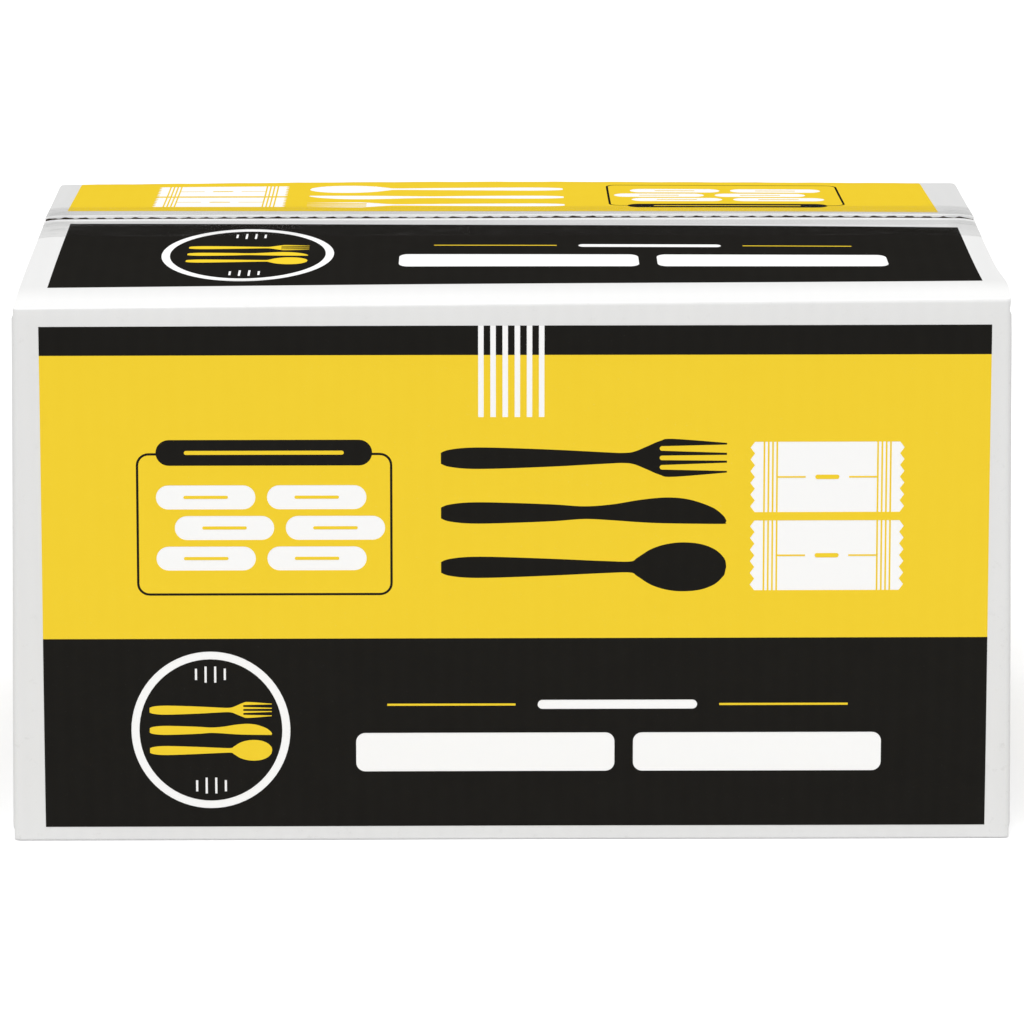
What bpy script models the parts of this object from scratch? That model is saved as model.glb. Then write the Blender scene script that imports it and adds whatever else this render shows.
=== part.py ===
"""A sealed corrugated carton of wrapped cutlery, printed in two inks and closed with clear tape.

Units are metres. X runs along the carton, the printed front faces -Y, and it stands on Z = 0.
"""
import math

import bmesh
import bpy
from mathutils import Vector
from mathutils.geometry import delaunay_2d_cdt

# The carton's outside, from long fold to long fold
LENGTH = 0.530
DEPTH = 0.310
HEIGHT = 0.300
BOARD = 0.004
CORNER_RADIUS = 0.004
FOLD_RADIUS = 0.0045

# The top flaps are pushed up by what is inside, and the tape pulls their ends down
SEAM_RISE = 0.0136
SEAM_CROWN = 0.0008
END_DROP = 0.0026
END_DROP_REACH = 0.014
SEAM_GAP = 0.0012
FAR_FLAP_LIFT = 0.0015
GROOVE_SPARE = 0.0005
CUTBACK_AT_FOLD = 0.0008
CUTBACK_AT_SEAM = 0.0040
END_GAP_REACH = 0.060

# The ends lean out a little towards the foot, under the weight of the contents
FOOT_FLARE = 0.0073

# The bottom flaps lie flat but for a shallow hollow along their seam, where the tape runs
HOLLOW_HEIGHT = 0.0012
HOLLOW_HALF_WIDTH = 0.045
HOLLOW_RAMP = 0.030

# One upper corner is knocked in
KNOCK_DEPTH = 0.0015
KNOCK_REACH = 0.024

# The glued joint beside the rear left corner
JOINT_GROOVE_WIDTH = 0.0010
JOINT_GROOVE_DEPTH = 0.0012

# Clear packing tape
TAPE_WIDTH = 0.072
TAPE_OFFSET = 0.002
TAPE_THICKNESS = 0.0003
TAPE_TAIL = 0.055
TAPE_CLEARANCE = 0.0003
TAPE_BEVEL = 0.00018

# Where the printed fields end on each panel
FRONT_MARGIN_LEFT = 0.0135
FRONT_MARGIN_RIGHT = 0.0100
FRONT_MARGIN_TOP = 0.012
FRONT_MARGIN_FOOT = 0.008
FRONT_SPREAD = 0.0033
END_MARGIN_SIDE = 0.014
END_MARGIN_FOOT = 0.014
NEAR_MARGIN_LEFT = 0.018
NEAR_MARGIN_RIGHT = 0.0138
NEAR_FROM_FOLD = 0.0345
NEAR_FROM_SEAM = 0.0130
NEAR_TAPER = 0.0048
FAR_MARGIN_LEFT = 0.0134
FAR_MARGIN_RIGHT = 0.0216
FAR_FROM_FOLD = 0.0055
FAR_FROM_SEAM = 0.0220
FAR_SLANT = 0.0058

# The front artwork as it was drawn, before it is scaled to its field
ART_WIDTH = 0.511
ART_HEIGHT = 0.280
BAND_HEIGHT = 0.016
BASE_HEIGHT = 0.107
NEAR_ART_WIDTH = 0.499
NEAR_ART_HEIGHT = 0.106
FAR_ART_WIDTH = 0.514
FAR_ART_HEIGHT = 0.118

ARC_STEPS = 4
ROUND_STEPS = 32
CURVE_STEPS = 2
WELD = 1e-6
CUTTER_SPARE = 0.05
TANGENT_SPARE = 0.00002

# The board's own white and the two inks, in the order of the carton's materials
WHITE, YELLOW, BLACK = INKS = ("white_board", "yellow_ink", "black_ink")

# Colour, roughness and opacity
FINISHES = {
    WHITE: ((0.80, 0.80, 0.80), 0.75, 1.0),
    YELLOW: ((0.896, 0.631, 0.037), 0.60, 1.0),
    BLACK: ((0.0152, 0.0144, 0.0130), 0.55, 1.0),
    "clear_tape": ((0.86, 0.86, 0.84), 0.15, 0.12),
}


def clear_scene():
    for thing in list(bpy.data.objects):
        bpy.data.objects.remove(thing, do_unlink=True)


def finish(name):
    colour, roughness, opacity = FINISHES[name]
    made = bpy.data.materials.new(name)
    made.use_nodes = True
    shader = made.node_tree.nodes["Principled BSDF"]
    shader.inputs["Base Color"].default_value = (*colour, 1.0)
    shader.inputs["Roughness"].default_value = roughness
    shader.inputs["Metallic"].default_value = 0.0
    shader.inputs["Alpha"].default_value = opacity
    return made


def as_mesh(bm, name):
    bmesh.ops.recalc_face_normals(bm, faces=bm.faces)
    mesh = bpy.data.meshes.new(name)
    bm.to_mesh(mesh)
    bm.free()
    return mesh


def add_object(name, mesh, finishes):
    made = bpy.data.objects.new(name, mesh)
    bpy.context.scene.collection.objects.link(made)
    for each in finishes:
        mesh.materials.append(finish(each))
    return made


# The carton's form

def end_x(z):
    """How far the end panel stands from the middle at height z."""
    return LENGTH / 2 + FOOT_FLARE * max(0.0, 1 - z / HEIGHT)


def rise(x):
    """How far the seam stands above the long folds at x."""
    crown = SEAM_CROWN * (2 * x / LENGTH) ** 2
    near_end = max(0.0, (abs(x) - LENGTH / 2 + END_DROP_REACH) / END_DROP_REACH)
    return SEAM_RISE - crown - END_DROP * near_end ** 2


def toward_seam(y):
    """0 at a long fold and 1 at the seam."""
    fold = DEPTH / 2 - FOLD_RADIUS
    return (fold - abs(y)) / (fold - SEAM_GAP / 2)


def lid_z(x, y):
    lift = FAR_FLAP_LIFT if y > 0 else 0.0
    return HEIGHT + (rise(x) + lift) * toward_seam(y)


def foot_z(y):
    ramp = (HOLLOW_HALF_WIDTH + HOLLOW_RAMP - abs(y)) / HOLLOW_RAMP
    return HOLLOW_HEIGHT * min(1.0, max(0.0, ramp))


def flap_end(y, z):
    """Where a long flap's cut end lies, at depth y, on the lid or the foot at height z."""
    share = min(1.0, max(0.0, toward_seam(y)))
    return end_x(z) - CUTBACK_AT_FOLD - (CUTBACK_AT_SEAM - CUTBACK_AT_FOLD) * share


def arc(centre, radius, start, stop):
    angles = [math.radians(start + (stop - start) * i / ARC_STEPS) for i in range(ARC_STEPS + 1)]
    return [(centre[0] + radius * math.cos(a), centre[1] + radius * math.sin(a)) for a in angles]


def section(x):
    """The outline across the carton at x, as (y, z), and the index at which each panel starts."""
    half, r, slit = DEPTH / 2, FOLD_RADIUS, SEAM_GAP / 2
    groove = BOARD + GROOVE_SPARE
    top = HEIGHT - r
    flat = HOLLOW_HALF_WIDTH
    points = arc((-half + r, r), r, 270, 180)
    starts = {"front": len(points) - 1}
    points += arc((-half + r, top), r, 180, 90)
    starts["near"] = len(points) - 1
    near, far = lid_z(x, -slit), lid_z(x, slit)
    points += [(-slit, near), (-slit, near - groove), (slit, near - groove), (slit, far)]
    starts["far"] = len(points) - 1
    points += arc((half - r, top), r, 90, 0)
    starts["back"] = len(points) - 1
    points += arc((half - r, r), r, 0, -90)
    sides = [(flat + HOLLOW_RAMP, 0.0), (flat, HOLLOW_HEIGHT), (slit, HOLLOW_HEIGHT)]
    points += sides + [(slit, HOLLOW_HEIGHT + groove), (-slit, HOLLOW_HEIGHT + groove)]
    points += [(-y, z) for y, z in reversed(sides)]
    return points, starts


def stations():
    """Places along X: even steps, closer ones where the flap ends are pulled down."""
    inner = LENGTH / 2 - CORNER_RADIUS
    pulled = LENGTH / 2 - END_DROP_REACH
    right = [0.0, pulled / 3, 2 * pulled / 3, pulled, (pulled + inner) / 2, inner]
    return [-x for x in reversed(right[1:])] + right


def corner_stations():
    """(x, how far the side panels stand in) round one upright corner."""
    steps = [math.radians(90 * i / ARC_STEPS) for i in range(ARC_STEPS + 1)]
    inner = LENGTH / 2 - CORNER_RADIUS
    return [(inner + CORNER_RADIUS * math.sin(a), CORNER_RADIUS * (1 - math.cos(a))) for a in steps]


# Printed shapes, each a closed loop of (u, v) in the artwork's own frame

def rectangle(u0, v0, u1, v1):
    return [(u0, v0), (u1, v0), (u1, v1), (u0, v1)]


def rounded(u0, v0, u1, v1, radius):
    corners = [(u1 - radius, v1 - radius, 0), (u0 + radius, v1 - radius, 90),
               (u0 + radius, v0 + radius, 180), (u1 - radius, v0 + radius, 270)]
    loop = []
    for u, v, start in corners:
        loop += arc((u, v), radius, start, start + 90)
    return loop


def pill(u, v, width, height):
    spare = 0.999
    return rounded(u - width / 2, v - height / 2, u + width / 2, v + height / 2, height / 2 * spare)


def circle(u, v, radius):
    turn = [2 * math.pi * i / ROUND_STEPS for i in range(ROUND_STEPS)]
    return [(u + radius * math.cos(a), v + radius * math.sin(a)) for a in turn]


def smooth(points):
    """A Catmull-Rom curve through points."""
    padded = [points[0]] + points + [points[-1]]
    curve = []
    for a, b, c, d in zip(padded, padded[1:], padded[2:], padded[3:]):
        for i in range(CURVE_STEPS):
            t = i / CURVE_STEPS
            weights = (-t + 2 * t * t - t ** 3, 2 - 5 * t * t + 3 * t ** 3,
                       t + 4 * t * t - 3 * t ** 3, t ** 3 - t * t)
            curve.append(tuple(sum(w * p[k] for w, p in zip(weights, (a, b, c, d))) / 2 for k in (0, 1)))
    return curve + [points[-1]]


def silhouette(upper, lower):
    """A loop in metres from an upper and a lower edge in millimetres, both from the handle's end."""
    loop = smooth(lower) + list(reversed(smooth(upper)))
    return [(u / 1000, v / 1000) for u, v in loop]


HANDLE = [(0, 3.0), (4, 4.6), (14, 5.8), (30, 5.8), (60, 4.7)]
FORK_EDGE = HANDLE + [(88, 3.2), (98, 2.8), (104, 3.5), (111, 6.4), (118, 9.4), (125, 10.5), (154, 8.2)]
SPOON_EDGE = HANDLE + [(88, 3.4), (102, 3.1), (106, 5.2), (113, 9.8), (121, 12.6), (130, 13.7),
                       (140, 12.8), (148, 9.6), (153, 4.6), (154, 0)]
KNIFE_TOP = HANDLE + [(77, 3.6), (92, 4.6), (108, 7.2), (122, 8.4), (134, 7.2), (146, 3.0), (152, -1.5),
                      (154, -4.6)]
KNIFE_FOOT = [(u, -v) for u, v in HANDLE] + [(77, -3.5), (92, -4.2), (108, -5.4), (122, -6.0), (151, -6.4),
                                             (153.4, -5.9)]


def fork():
    return silhouette(FORK_EDGE, [(u, -v) for u, v in FORK_EDGE])


def fork_slots():
    """The three gaps between the tines, each with a round root, wider at the open end."""
    loops = []
    for middle, tip_middle, tip_half in ((-5.2, -5.0, 2.3), (0.0, 0.0, 1.6), (5.2, 5.0, 2.3)):
        root = [(119 - 1.25 * math.sin(a), middle + 1.25 * math.cos(a)) for a in
                [math.pi * i / ARC_STEPS for i in range(ARC_STEPS + 1)]]
        loop = root + [(155, tip_middle - tip_half), (155, tip_middle + tip_half)]
        loops.append([(u / 1000, v / 1000) for u, v in loop])
    return loops


def spoon():
    return silhouette(SPOON_EDGE, [(u, -v) for u, v in SPOON_EDGE[:-1]])


def knife():
    return silhouette(KNIFE_TOP, KNIFE_FOOT)


def shift(loop, u, v, size=1.0):
    return [(u + a * size, v + b * size) for a, b in loop]


def cutlery(u, v, step, size, ink, ground):
    """A fork, a knife and a spoon, one under the other, handles to the left."""
    shapes = [(shift(fork(), u, v, size), ink)]
    shapes += [(shift(slot, u, v, size), ground) for slot in fork_slots()]
    shapes.append((shift(knife(), u, v - step, size), ink))
    shapes.append((shift(spoon(), u, v - 2 * step, size), ink))
    return shapes


def zigzag_end(u, v0, v1, depth, teeth):
    pitch = (v1 - v0) / teeth
    points = []
    for i in range(teeth):
        points += [(u, v0 + (i + 0.5) * pitch), (u + depth, v0 + (i + 1) * pitch)]
    return points[:-1]


def sachet(u, v, ink):
    """A small pillow packet with crimped, saw-cut ends and a short plain bar for its label."""
    width, height, tooth = 0.083, 0.039, 0.0024
    right = [(2 * u + width - a, b) for a, b in zigzag_end(u, v, v + height, tooth, 6)]
    left = list(reversed(zigzag_end(u, v, v + height, tooth, 6)))
    loop = [(u + tooth, v), (u + width - tooth, v)] + right + [(u + width - tooth, v + height)]
    loop += [(u + tooth, v + height)] + left
    shapes = [(loop, WHITE)]
    crimp, pitch, line = 0.0070, 0.0023, 0.0009
    for i in range(4):
        at = u + crimp + i * pitch
        shapes.append((rectangle(at, v, at + line, v + height), ink))
        shapes.append((rectangle(2 * u + width - at - line, v, 2 * u + width - at, v + height), ink))
    middle, reach = v + height / 2, 0.015
    rule_from = u + crimp + 3 * pitch + line
    shapes.append((rectangle(rule_from, middle - line / 2, rule_from + reach, middle + line / 2), ink))
    rule_to = 2 * u + width - rule_from
    shapes.append((rectangle(rule_to - reach, middle - line / 2, rule_to, middle + line / 2), ink))
    shapes.append((pill(u + width / 2, middle, 0.013, 0.0024), ink))
    return shapes


def list_frame(ground):
    """A thin rounded frame with a dark heading pill and six white pills in two staggered columns."""
    line = 0.0011
    outer = rounded(0.051, 0.1305, 0.188, 0.2105, 0.0068)
    inner = rounded(0.051 + line, 0.1305 + line, 0.188 - line, 0.2105 - line, 0.0068 - line)
    shapes = [(outer, BLACK), (inner, ground)]
    shapes.append((pill(0.1195, 0.2106, 0.1165, 0.0142), BLACK))
    shapes.append((pill(0.1195, 0.2106, 0.086, 0.0022), YELLOW))
    for row, indent in enumerate((0.0, 0.010, 0.0)):
        for column in (0.088, 0.1483):
            u, v = column + indent, 0.186 - row * 0.017
            shapes.append((pill(u, v, 0.054, 0.0136), WHITE))
            shapes.append((pill(u, v, 0.024, 0.0017), YELLOW))
    return shapes


def roundel(u, v, radius, line):
    """A white ring with short strokes above and below a small set of cutlery."""
    shapes = [(circle(u, v, radius), WHITE), (circle(u, v, radius - line), BLACK)]
    half = 0.0008
    for offset, reach in ((-0.0078, 0.0350), (-0.0026, 0.0362), (0.0026, 0.0362), (0.0078, 0.0350)):
        inner = 0.0270 if abs(offset) < 0.005 else 0.0285
        for sign in (-1, 1):
            v0, v1 = sorted((v + sign * inner, v + sign * reach))
            shapes.append((rectangle(u + offset - half, v0, u + offset + half, v1), WHITE))
    size = 0.43
    return shapes + cutlery(u - 0.077 * size, v + 0.0115, 0.0115, size, YELLOW, BLACK)


def title_bars(u0, v, width, rules):
    """Two thin rules with a light bar between them, over two heavy bars, where a name would stand."""
    line = 0.0006
    shapes = [(rectangle(a, v - line, b, v + line), YELLOW) for a, b in rules]
    gap = 0.012
    light = (rules[0][1] + gap, rules[1][0] - gap)
    shapes.append((pill(sum(light) / 2, v, light[1] - light[0], 0.0052), WHITE))
    heavy, low, space, corner = 0.022, 0.016, 0.010, 0.005
    first = (width - space) * 0.51
    foot = v - low - heavy
    for start, end in ((u0, u0 + first), (u0 + first + space, u0 + width)):
        shapes.append((rounded(start, foot, end, foot + heavy, corner), WHITE))
    return shapes


def picture_row(ground, cutlery_ink):
    """The frame, the cutlery and the two sachets that stand on the yellow field."""
    shapes = list_frame(ground)
    shapes += cutlery(0.2153, 0.2074, 0.0303, 1.0, cutlery_ink, ground)
    return shapes + sachet(0.382, 0.1772, ground) + sachet(0.382, 0.1336, ground)


def front_artwork():
    yellow = rectangle(0.0, BASE_HEIGHT, ART_WIDTH, ART_HEIGHT - BAND_HEIGHT)
    shapes = [(rectangle(0.0, 0.0, ART_WIDTH, ART_HEIGHT), BLACK), (yellow, YELLOW)]
    bar, pitch, length = 0.0030, 0.00652, 0.050
    for i in range(6):
        u = 0.235 + i * pitch
        shapes.append((rectangle(u, ART_HEIGHT - length, u + bar, ART_HEIGHT), WHITE))
    shapes += picture_row(YELLOW, BLACK)
    shapes += roundel(0.090, 0.0544, 0.044, 0.0033)
    return shapes + title_bars(0.169, 0.0694, 0.285, ((0.186, 0.2555), (0.366, 0.4357)))


def near_artwork():
    shapes = [(rectangle(0.0, 0.0, NEAR_ART_WIDTH, NEAR_ART_HEIGHT), BLACK)]
    shapes += roundel(0.103, 0.052, 0.048, 0.0038)
    return shapes + title_bars(0.1866, 0.068, 0.266, ((0.2053, 0.273), (0.3756, 0.4356)))


def far_artwork():
    """The picture row again, on its own field and read from behind the carton."""
    low = 0.116
    shapes = [(rectangle(0.0, 0.0, FAR_ART_WIDTH, FAR_ART_HEIGHT), YELLOW)]
    return shapes + [(shift(loop, 0.0, -low), ink) for loop, ink in picture_row(YELLOW, WHITE)]


def end_artwork(width, height):
    yellow = rectangle(0.0, BASE_HEIGHT, width, height - BAND_HEIGHT)
    return [(rectangle(0.0, 0.0, width, height), BLACK), (yellow, YELLOW)]


def fit(shapes, drawn, corners, turned=False):
    """Scales artwork of a drawn size into four corners, lower left first, turned half round if asked."""
    def place(u, v):
        s, t = u / drawn[0], v / drawn[1]
        if turned:
            s, t = 1 - s, 1 - t
        shares = ((1 - s) * (1 - t), s * (1 - t), s * t, (1 - s) * t)
        return tuple(sum(w * corner[k] for w, corner in zip(shares, corners)) for k in (0, 1))

    return [([place(u, v) for u, v in loop], ink) for loop, ink in shapes]


def mirrored(shapes):
    return [([(-u, v) for u, v in loop], ink) for loop, ink in shapes]


# The carton's mesh

def inside(point, loop):
    u, v = point
    odd = False
    for (a, b), (c, d) in zip(loop, loop[1:] + loop[:1]):
        if (b > v) != (d > v) and u < a + (v - b) * (c - a) / (d - b):
            odd = not odd
    return odd


def ink_at(point, shapes):
    """The ink of the last shape drawn over a point."""
    found = WHITE
    for loop, ink in shapes:
        if inside(point, loop):
            found = ink
    return found


def add_panel(bm, boundary, shapes, lines, place, flip):
    """Fills a flat boundary with triangles that follow the printed shapes, and puts them in space."""
    points, edges = [], []
    for loop in [boundary] + [loop for loop, ink in shapes]:
        first = len(points)
        points += [Vector(p) for p in loop]
        edges += [(first + i, first + (i + 1) % len(loop)) for i in range(len(loop))]
    for a, b in lines:
        edges.append((len(points), len(points) + 1))
        points += [Vector(a), Vector(b)]
    corners, made_edges, triangles, *origins = delaunay_2d_cdt(points, edges, [], 1, WELD)
    verts = [bm.verts.new(place(*co)) for co in corners]
    for triangle in triangles:
        middle = sum((corners[i] for i in triangle), Vector((0.0, 0.0))) / 3
        order = reversed(triangle) if flip else triangle
        face = bm.faces.new([verts[i] for i in order])
        face.material_index = INKS.index(ink_at(middle, shapes))


def ladder(xs, low, high):
    """A rectangle's loop with a point at each x along both long sides."""
    return [(x, low) for x in xs] + [(x, high) for x in reversed(xs)]


def add_printed_panels(bm, xs):
    half, r, side = DEPTH / 2, FOLD_RADIUS, LENGTH / 2
    left, right = -side + FRONT_MARGIN_LEFT, side - FRONT_MARGIN_RIGHT
    low, high = FRONT_MARGIN_FOOT, HEIGHT - FRONT_MARGIN_TOP
    corners = [(left - FRONT_SPREAD, low), (right + FRONT_SPREAD, low), (right, high), (left, high)]
    front = fit(front_artwork(), (ART_WIDTH, ART_HEIGHT), corners)
    upright = ladder(xs, r, HEIGHT - r)
    add_panel(bm, upright, front, [], lambda x, z: (x, -half, z), False)
    add_panel(bm, upright, mirrored(front), [], lambda x, z: (x, half, z), True)

    fold, slit = half - r, SEAM_GAP / 2
    left, right = -side + NEAR_MARGIN_LEFT, side - NEAR_MARGIN_RIGHT
    low, high = -half + NEAR_FROM_FOLD, -NEAR_FROM_SEAM
    corners = [(left, low - NEAR_TAPER), (right, low + NEAR_TAPER),
               (right, high - NEAR_TAPER), (left, high + NEAR_TAPER)]
    near = fit(near_artwork(), (NEAR_ART_WIDTH, NEAR_ART_HEIGHT), corners)
    rungs = [((x, -fold), (x, -slit)) for x in xs[1:-1]]
    add_panel(bm, ladder(xs, -fold, -slit), near, rungs, lambda x, y: (x, y, lid_z(x, y)), False)

    left, right = -side + FAR_MARGIN_LEFT, side - FAR_MARGIN_RIGHT
    low, high = FAR_FROM_SEAM, half - FAR_FROM_FOLD
    corners = [(left, low + FAR_SLANT), (right, low - FAR_SLANT), (right, high), (left, high)]
    far = fit(far_artwork(), (FAR_ART_WIDTH, FAR_ART_HEIGHT), corners, turned=True)
    rungs = [((x, slit), (x, fold)) for x in xs[1:-1]]
    add_panel(bm, ladder(xs, slit, fold), far, rungs, lambda x, y: (x, y, lid_z(x, y)), False)


def add_strips(bm, rings, skip):
    """Joins rings of points, all but the edges that the printed panels fill."""
    for ring, following in zip(rings, rings[1:]):
        count = len(ring)
        for i in range(count):
            if i in skip:
                continue
            j = (i + 1) % count
            bm.faces.new([bm.verts.new(p) for p in (ring[i], following[i], following[j], ring[j])])


def ring_at(x, inset, station):
    """The section at x, drawn in at its sides where the upright corner rounds off."""
    squeeze = 1 - inset / (DEPTH / 2)
    return [(station, y * squeeze, z) for y, z in section(x)[0]]


def add_end(bm, ring, side):
    x = ring[0][0]
    width = DEPTH - 2 * END_MARGIN_SIDE
    height = HEIGHT - FRONT_MARGIN_TOP - END_MARGIN_FOOT
    low, high = END_MARGIN_FOOT, END_MARGIN_FOOT + height
    corners = [(-width / 2, low), (width / 2, low), (width / 2, high), (-width / 2, high)]
    shapes = fit(end_artwork(width, height), (width, height), corners)
    add_panel(bm, [(y, z) for _, y, z in ring], shapes, [], lambda y, z: (x, y, z), side < 0)


def lean_and_knock(bm):
    """Leans the ends out towards the foot and knocks in the right front upper corner."""
    inner = LENGTH / 2 - CORNER_RADIUS - WELD
    corner = Vector((LENGTH / 2, -DEPTH / 2, HEIGHT))
    push = Vector((-1.0, 0.7, -0.7)).normalized() * KNOCK_DEPTH
    for vert in bm.verts:
        if abs(vert.co.x) >= inner:
            vert.co.x += math.copysign(end_x(vert.co.z) - LENGTH / 2, vert.co.x)
        away = (vert.co - corner).length / KNOCK_REACH
        vert.co += push * max(0.0, 1 - away) ** 2


def carton_mesh():
    bm = bmesh.new()
    xs = stations()
    add_printed_panels(bm, xs)
    skip = set(section(0.0)[1].values())
    add_strips(bm, [ring_at(x, 0.0, x) for x in xs], skip)
    right = [ring_at(xs[-1], inset, x) for x, inset in corner_stations()]
    left = [[(-x, y, z) for x, y, z in ring] for ring in reversed(right)]
    add_strips(bm, right, set())
    add_strips(bm, left, set())
    add_end(bm, right[-1], 1)
    add_end(bm, left[0], -1)
    bmesh.ops.remove_doubles(bm, verts=bm.verts, dist=WELD)
    lean_and_knock(bm)
    return as_mesh(bm, "carton")


# What is cut from the carton

def loft(name, rings):
    """A closed solid through rings of points, capped at both ends."""
    bm = bmesh.new()
    loops = [[bm.verts.new(p) for p in ring] for ring in rings]
    for ring, following in zip(loops, loops[1:]):
        for i in range(len(ring)):
            j = (i + 1) % len(ring)
            bm.faces.new((ring[i], ring[j], following[j], following[i]))
    bm.faces.new(loops[0])
    bm.faces.new(list(reversed(loops[-1])))
    return as_mesh(bm, name)


def cut(carton, name, mesh):
    cutter = bpy.data.objects.new(name, mesh)
    bpy.context.scene.collection.objects.link(cutter)
    cutter.hide_render = True
    cutter.display_type = "WIRE"
    modifier = carton.modifiers.new(name, "BOOLEAN")
    modifier.operation = "DIFFERENCE"
    modifier.solver = "EXACT"
    modifier.object = cutter


def end_cut_ring(y, side, top):
    """Profile of what is cut off beyond a long flap's end, down to the short flap's rounded fold."""
    r = FOLD_RADIUS
    level = HEIGHT - BOARD if top else BOARD
    up = 1 if top else -1
    panel = end_x(level - up * r) + TANGENT_SPARE
    reach = panel - flap_end(y, level)
    last = math.degrees(math.acos((r - reach) / r))
    steps = [math.radians(last * i / ARC_STEPS) for i in range(ARC_STEPS + 1)]
    curve = [(panel - r + r * math.cos(a), level - up * r + up * r * math.sin(a)) for a in steps]
    outer = panel + CUTTER_SPARE
    beyond = level + up * CUTTER_SPARE
    profile = [(outer, curve[0][1])] + curve + [(curve[-1][0], beyond), (outer, beyond)]
    return [(side * x, y, z) for x, z in profile]


def cut_flap_ends(carton):
    spare = DEPTH / 2 + CUTTER_SPARE
    for side, hand in ((1, "right"), (-1, "left")):
        for top, level in ((True, "top"), (False, "foot")):
            rings = [end_cut_ring(y, side, top) for y in (-spare, -DEPTH / 2, 0.0, DEPTH / 2, spare)]
            name = f"{level}_{hand}_flap_end"
            cut(carton, name, loft(name, rings))


def cut_end_gaps(carton):
    """The open wedge between the lifted long flaps and the short flap under them, at each end."""
    width = DEPTH / 2 - FOLD_RADIUS
    outer = LENGTH / 2 + SEAM_GAP
    inner = LENGTH / 2 - FOLD_RADIUS - END_GAP_REACH
    level = HEIGHT - BOARD
    high = rise(LENGTH / 2) + level
    fall = (high - level) * (outer - LENGTH / 2 + FOLD_RADIUS) / END_GAP_REACH
    low = level - fall
    corners = [(outer, -width, low), (outer, width, low), (outer, 0.0, high), (inner, 0.0, high)]
    for side, hand in ((1, "right"), (-1, "left")):
        bm = bmesh.new()
        verts = [bm.verts.new((side * x, y, z)) for x, y, z in corners]
        bmesh.ops.convex_hull(bm, input=verts)
        name = f"{hand}_end_gap"
        cut(carton, name, as_mesh(bm, name))


def cut_glued_joint(carton):
    """The line on the back where the end panel's raw edge meets the glued lap."""
    outer = DEPTH / 2 + CUTTER_SPARE
    inner = DEPTH / 2 - JOINT_GROOVE_DEPTH
    x1 = -LENGTH / 2 + CORNER_RADIUS + JOINT_GROOVE_WIDTH
    x0 = x1 - JOINT_GROOVE_WIDTH
    low, high = FOLD_RADIUS + BOARD, HEIGHT - FOLD_RADIUS - BOARD
    rings = [[(x0, inner, z), (x1, inner, z), (x1, outer, z), (x0, outer, z)] for z in (low, high)]
    cut(carton, "glued_joint", loft("glued_joint", rings))


def make_carton():
    carton = add_object("carton", carton_mesh(), INKS)
    cut_flap_ends(carton)
    cut_end_gaps(carton)
    cut_glued_joint(carton)


# Tape

def fold_turn(centre, radius, up, point):
    """Where a tight strip bends round a short flap's fold on its way to a point beyond it."""
    along, rising = point[0] - centre[0], up * (point[1] - centre[1])
    turn = math.atan2(rising, along) - math.acos(radius / math.hypot(along, rising))
    reach = radius / math.cos(turn / 2)
    return centre[0] + reach * math.cos(turn / 2), centre[1] + up * reach * math.sin(turn / 2)


def tape_path(y, top):
    """The tape's inner face from the tail on the right end to the middle, as (x, z)."""
    level = HEIGHT - BOARD - FOLD_RADIUS if top else BOARD + FOLD_RADIUS
    up = 1 if top else -1
    tail = HEIGHT - TAPE_TAIL if top else TAPE_TAIL
    gap = TAPE_CLEARANCE
    centre = (end_x(level) - FOLD_RADIUS, level)

    def face(x):
        return lid_z(x, y) + gap if top else foot_z(y) - gap

    end = flap_end(y, HEIGHT - BOARD if top else BOARD) + gap
    edge = (end, face(end) - up * TAPE_BEVEL)
    bend = fold_turn(centre, FOLD_RADIUS + gap, up, edge)
    path = [(end_x(tail) + gap, tail), bend, edge, (end - TAPE_BEVEL, face(end))]
    limit = LENGTH / 2 - CUTBACK_AT_SEAM - gap
    inner = [x for x in reversed(stations()) if 0 <= x < limit]
    return path + [(x, face(x)) for x in inner]


def offset(path, distance):
    """Moves an open (x, z) path to its left by distance, mitred at its corners."""
    moved = []
    for i, (x, z) in enumerate(path):
        normals = []
        for a, b in ((i - 1, i), (i, i + 1)):
            if a < 0 or b >= len(path):
                continue
            along = Vector((path[b][0] - path[a][0], path[b][1] - path[a][1])).normalized()
            normals.append(Vector((along.y, -along.x)))
        normal = sum(normals, Vector((0.0, 0.0))).normalized()
        moved_by = normal * distance / normal.dot(normals[0])
        moved.append((x + moved_by.x, z + moved_by.y))
    return moved


def tape_ring(y, top):
    """Both faces of the tape at depth y, from tail to tail and back."""
    half = tape_path(y, top)
    inner = half + [(-x, z) for x, z in reversed(half[:-1])]
    outer = offset(inner, TAPE_THICKNESS if top else -TAPE_THICKNESS)
    return [(x, y, z) for x, z in inner + list(reversed(outer))]


def make_tape(name, top):
    """One strip along a seam, stepping up over the higher flap and down both ends."""
    step = 0.004
    near, far = TAPE_OFFSET - TAPE_WIDTH / 2, TAPE_OFFSET + TAPE_WIDTH / 2
    rings = [tape_ring(y, top) for y in (near, -step, SEAM_GAP / 2, far)]
    add_object(name, loft(name, rings), ("clear_tape",))


def shade(angle):
    for thing in bpy.data.objects:
        if thing.display_type != "WIRE":
            thing.data.shade_smooth()
            thing.data.set_sharp_from_angle(angle=angle)


def main():
    clear_scene()
    make_carton()
    make_tape("top_tape", True)
    make_tape("bottom_tape", False)
    shade(math.radians(30))


main()
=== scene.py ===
"""A sealed corrugated shipping carton, printed in two inks and closed with clear tape. Units are metres."""
import math

import bmesh
import bpy
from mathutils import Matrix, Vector
from mathutils.geometry import delaunay_2d_cdt


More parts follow.
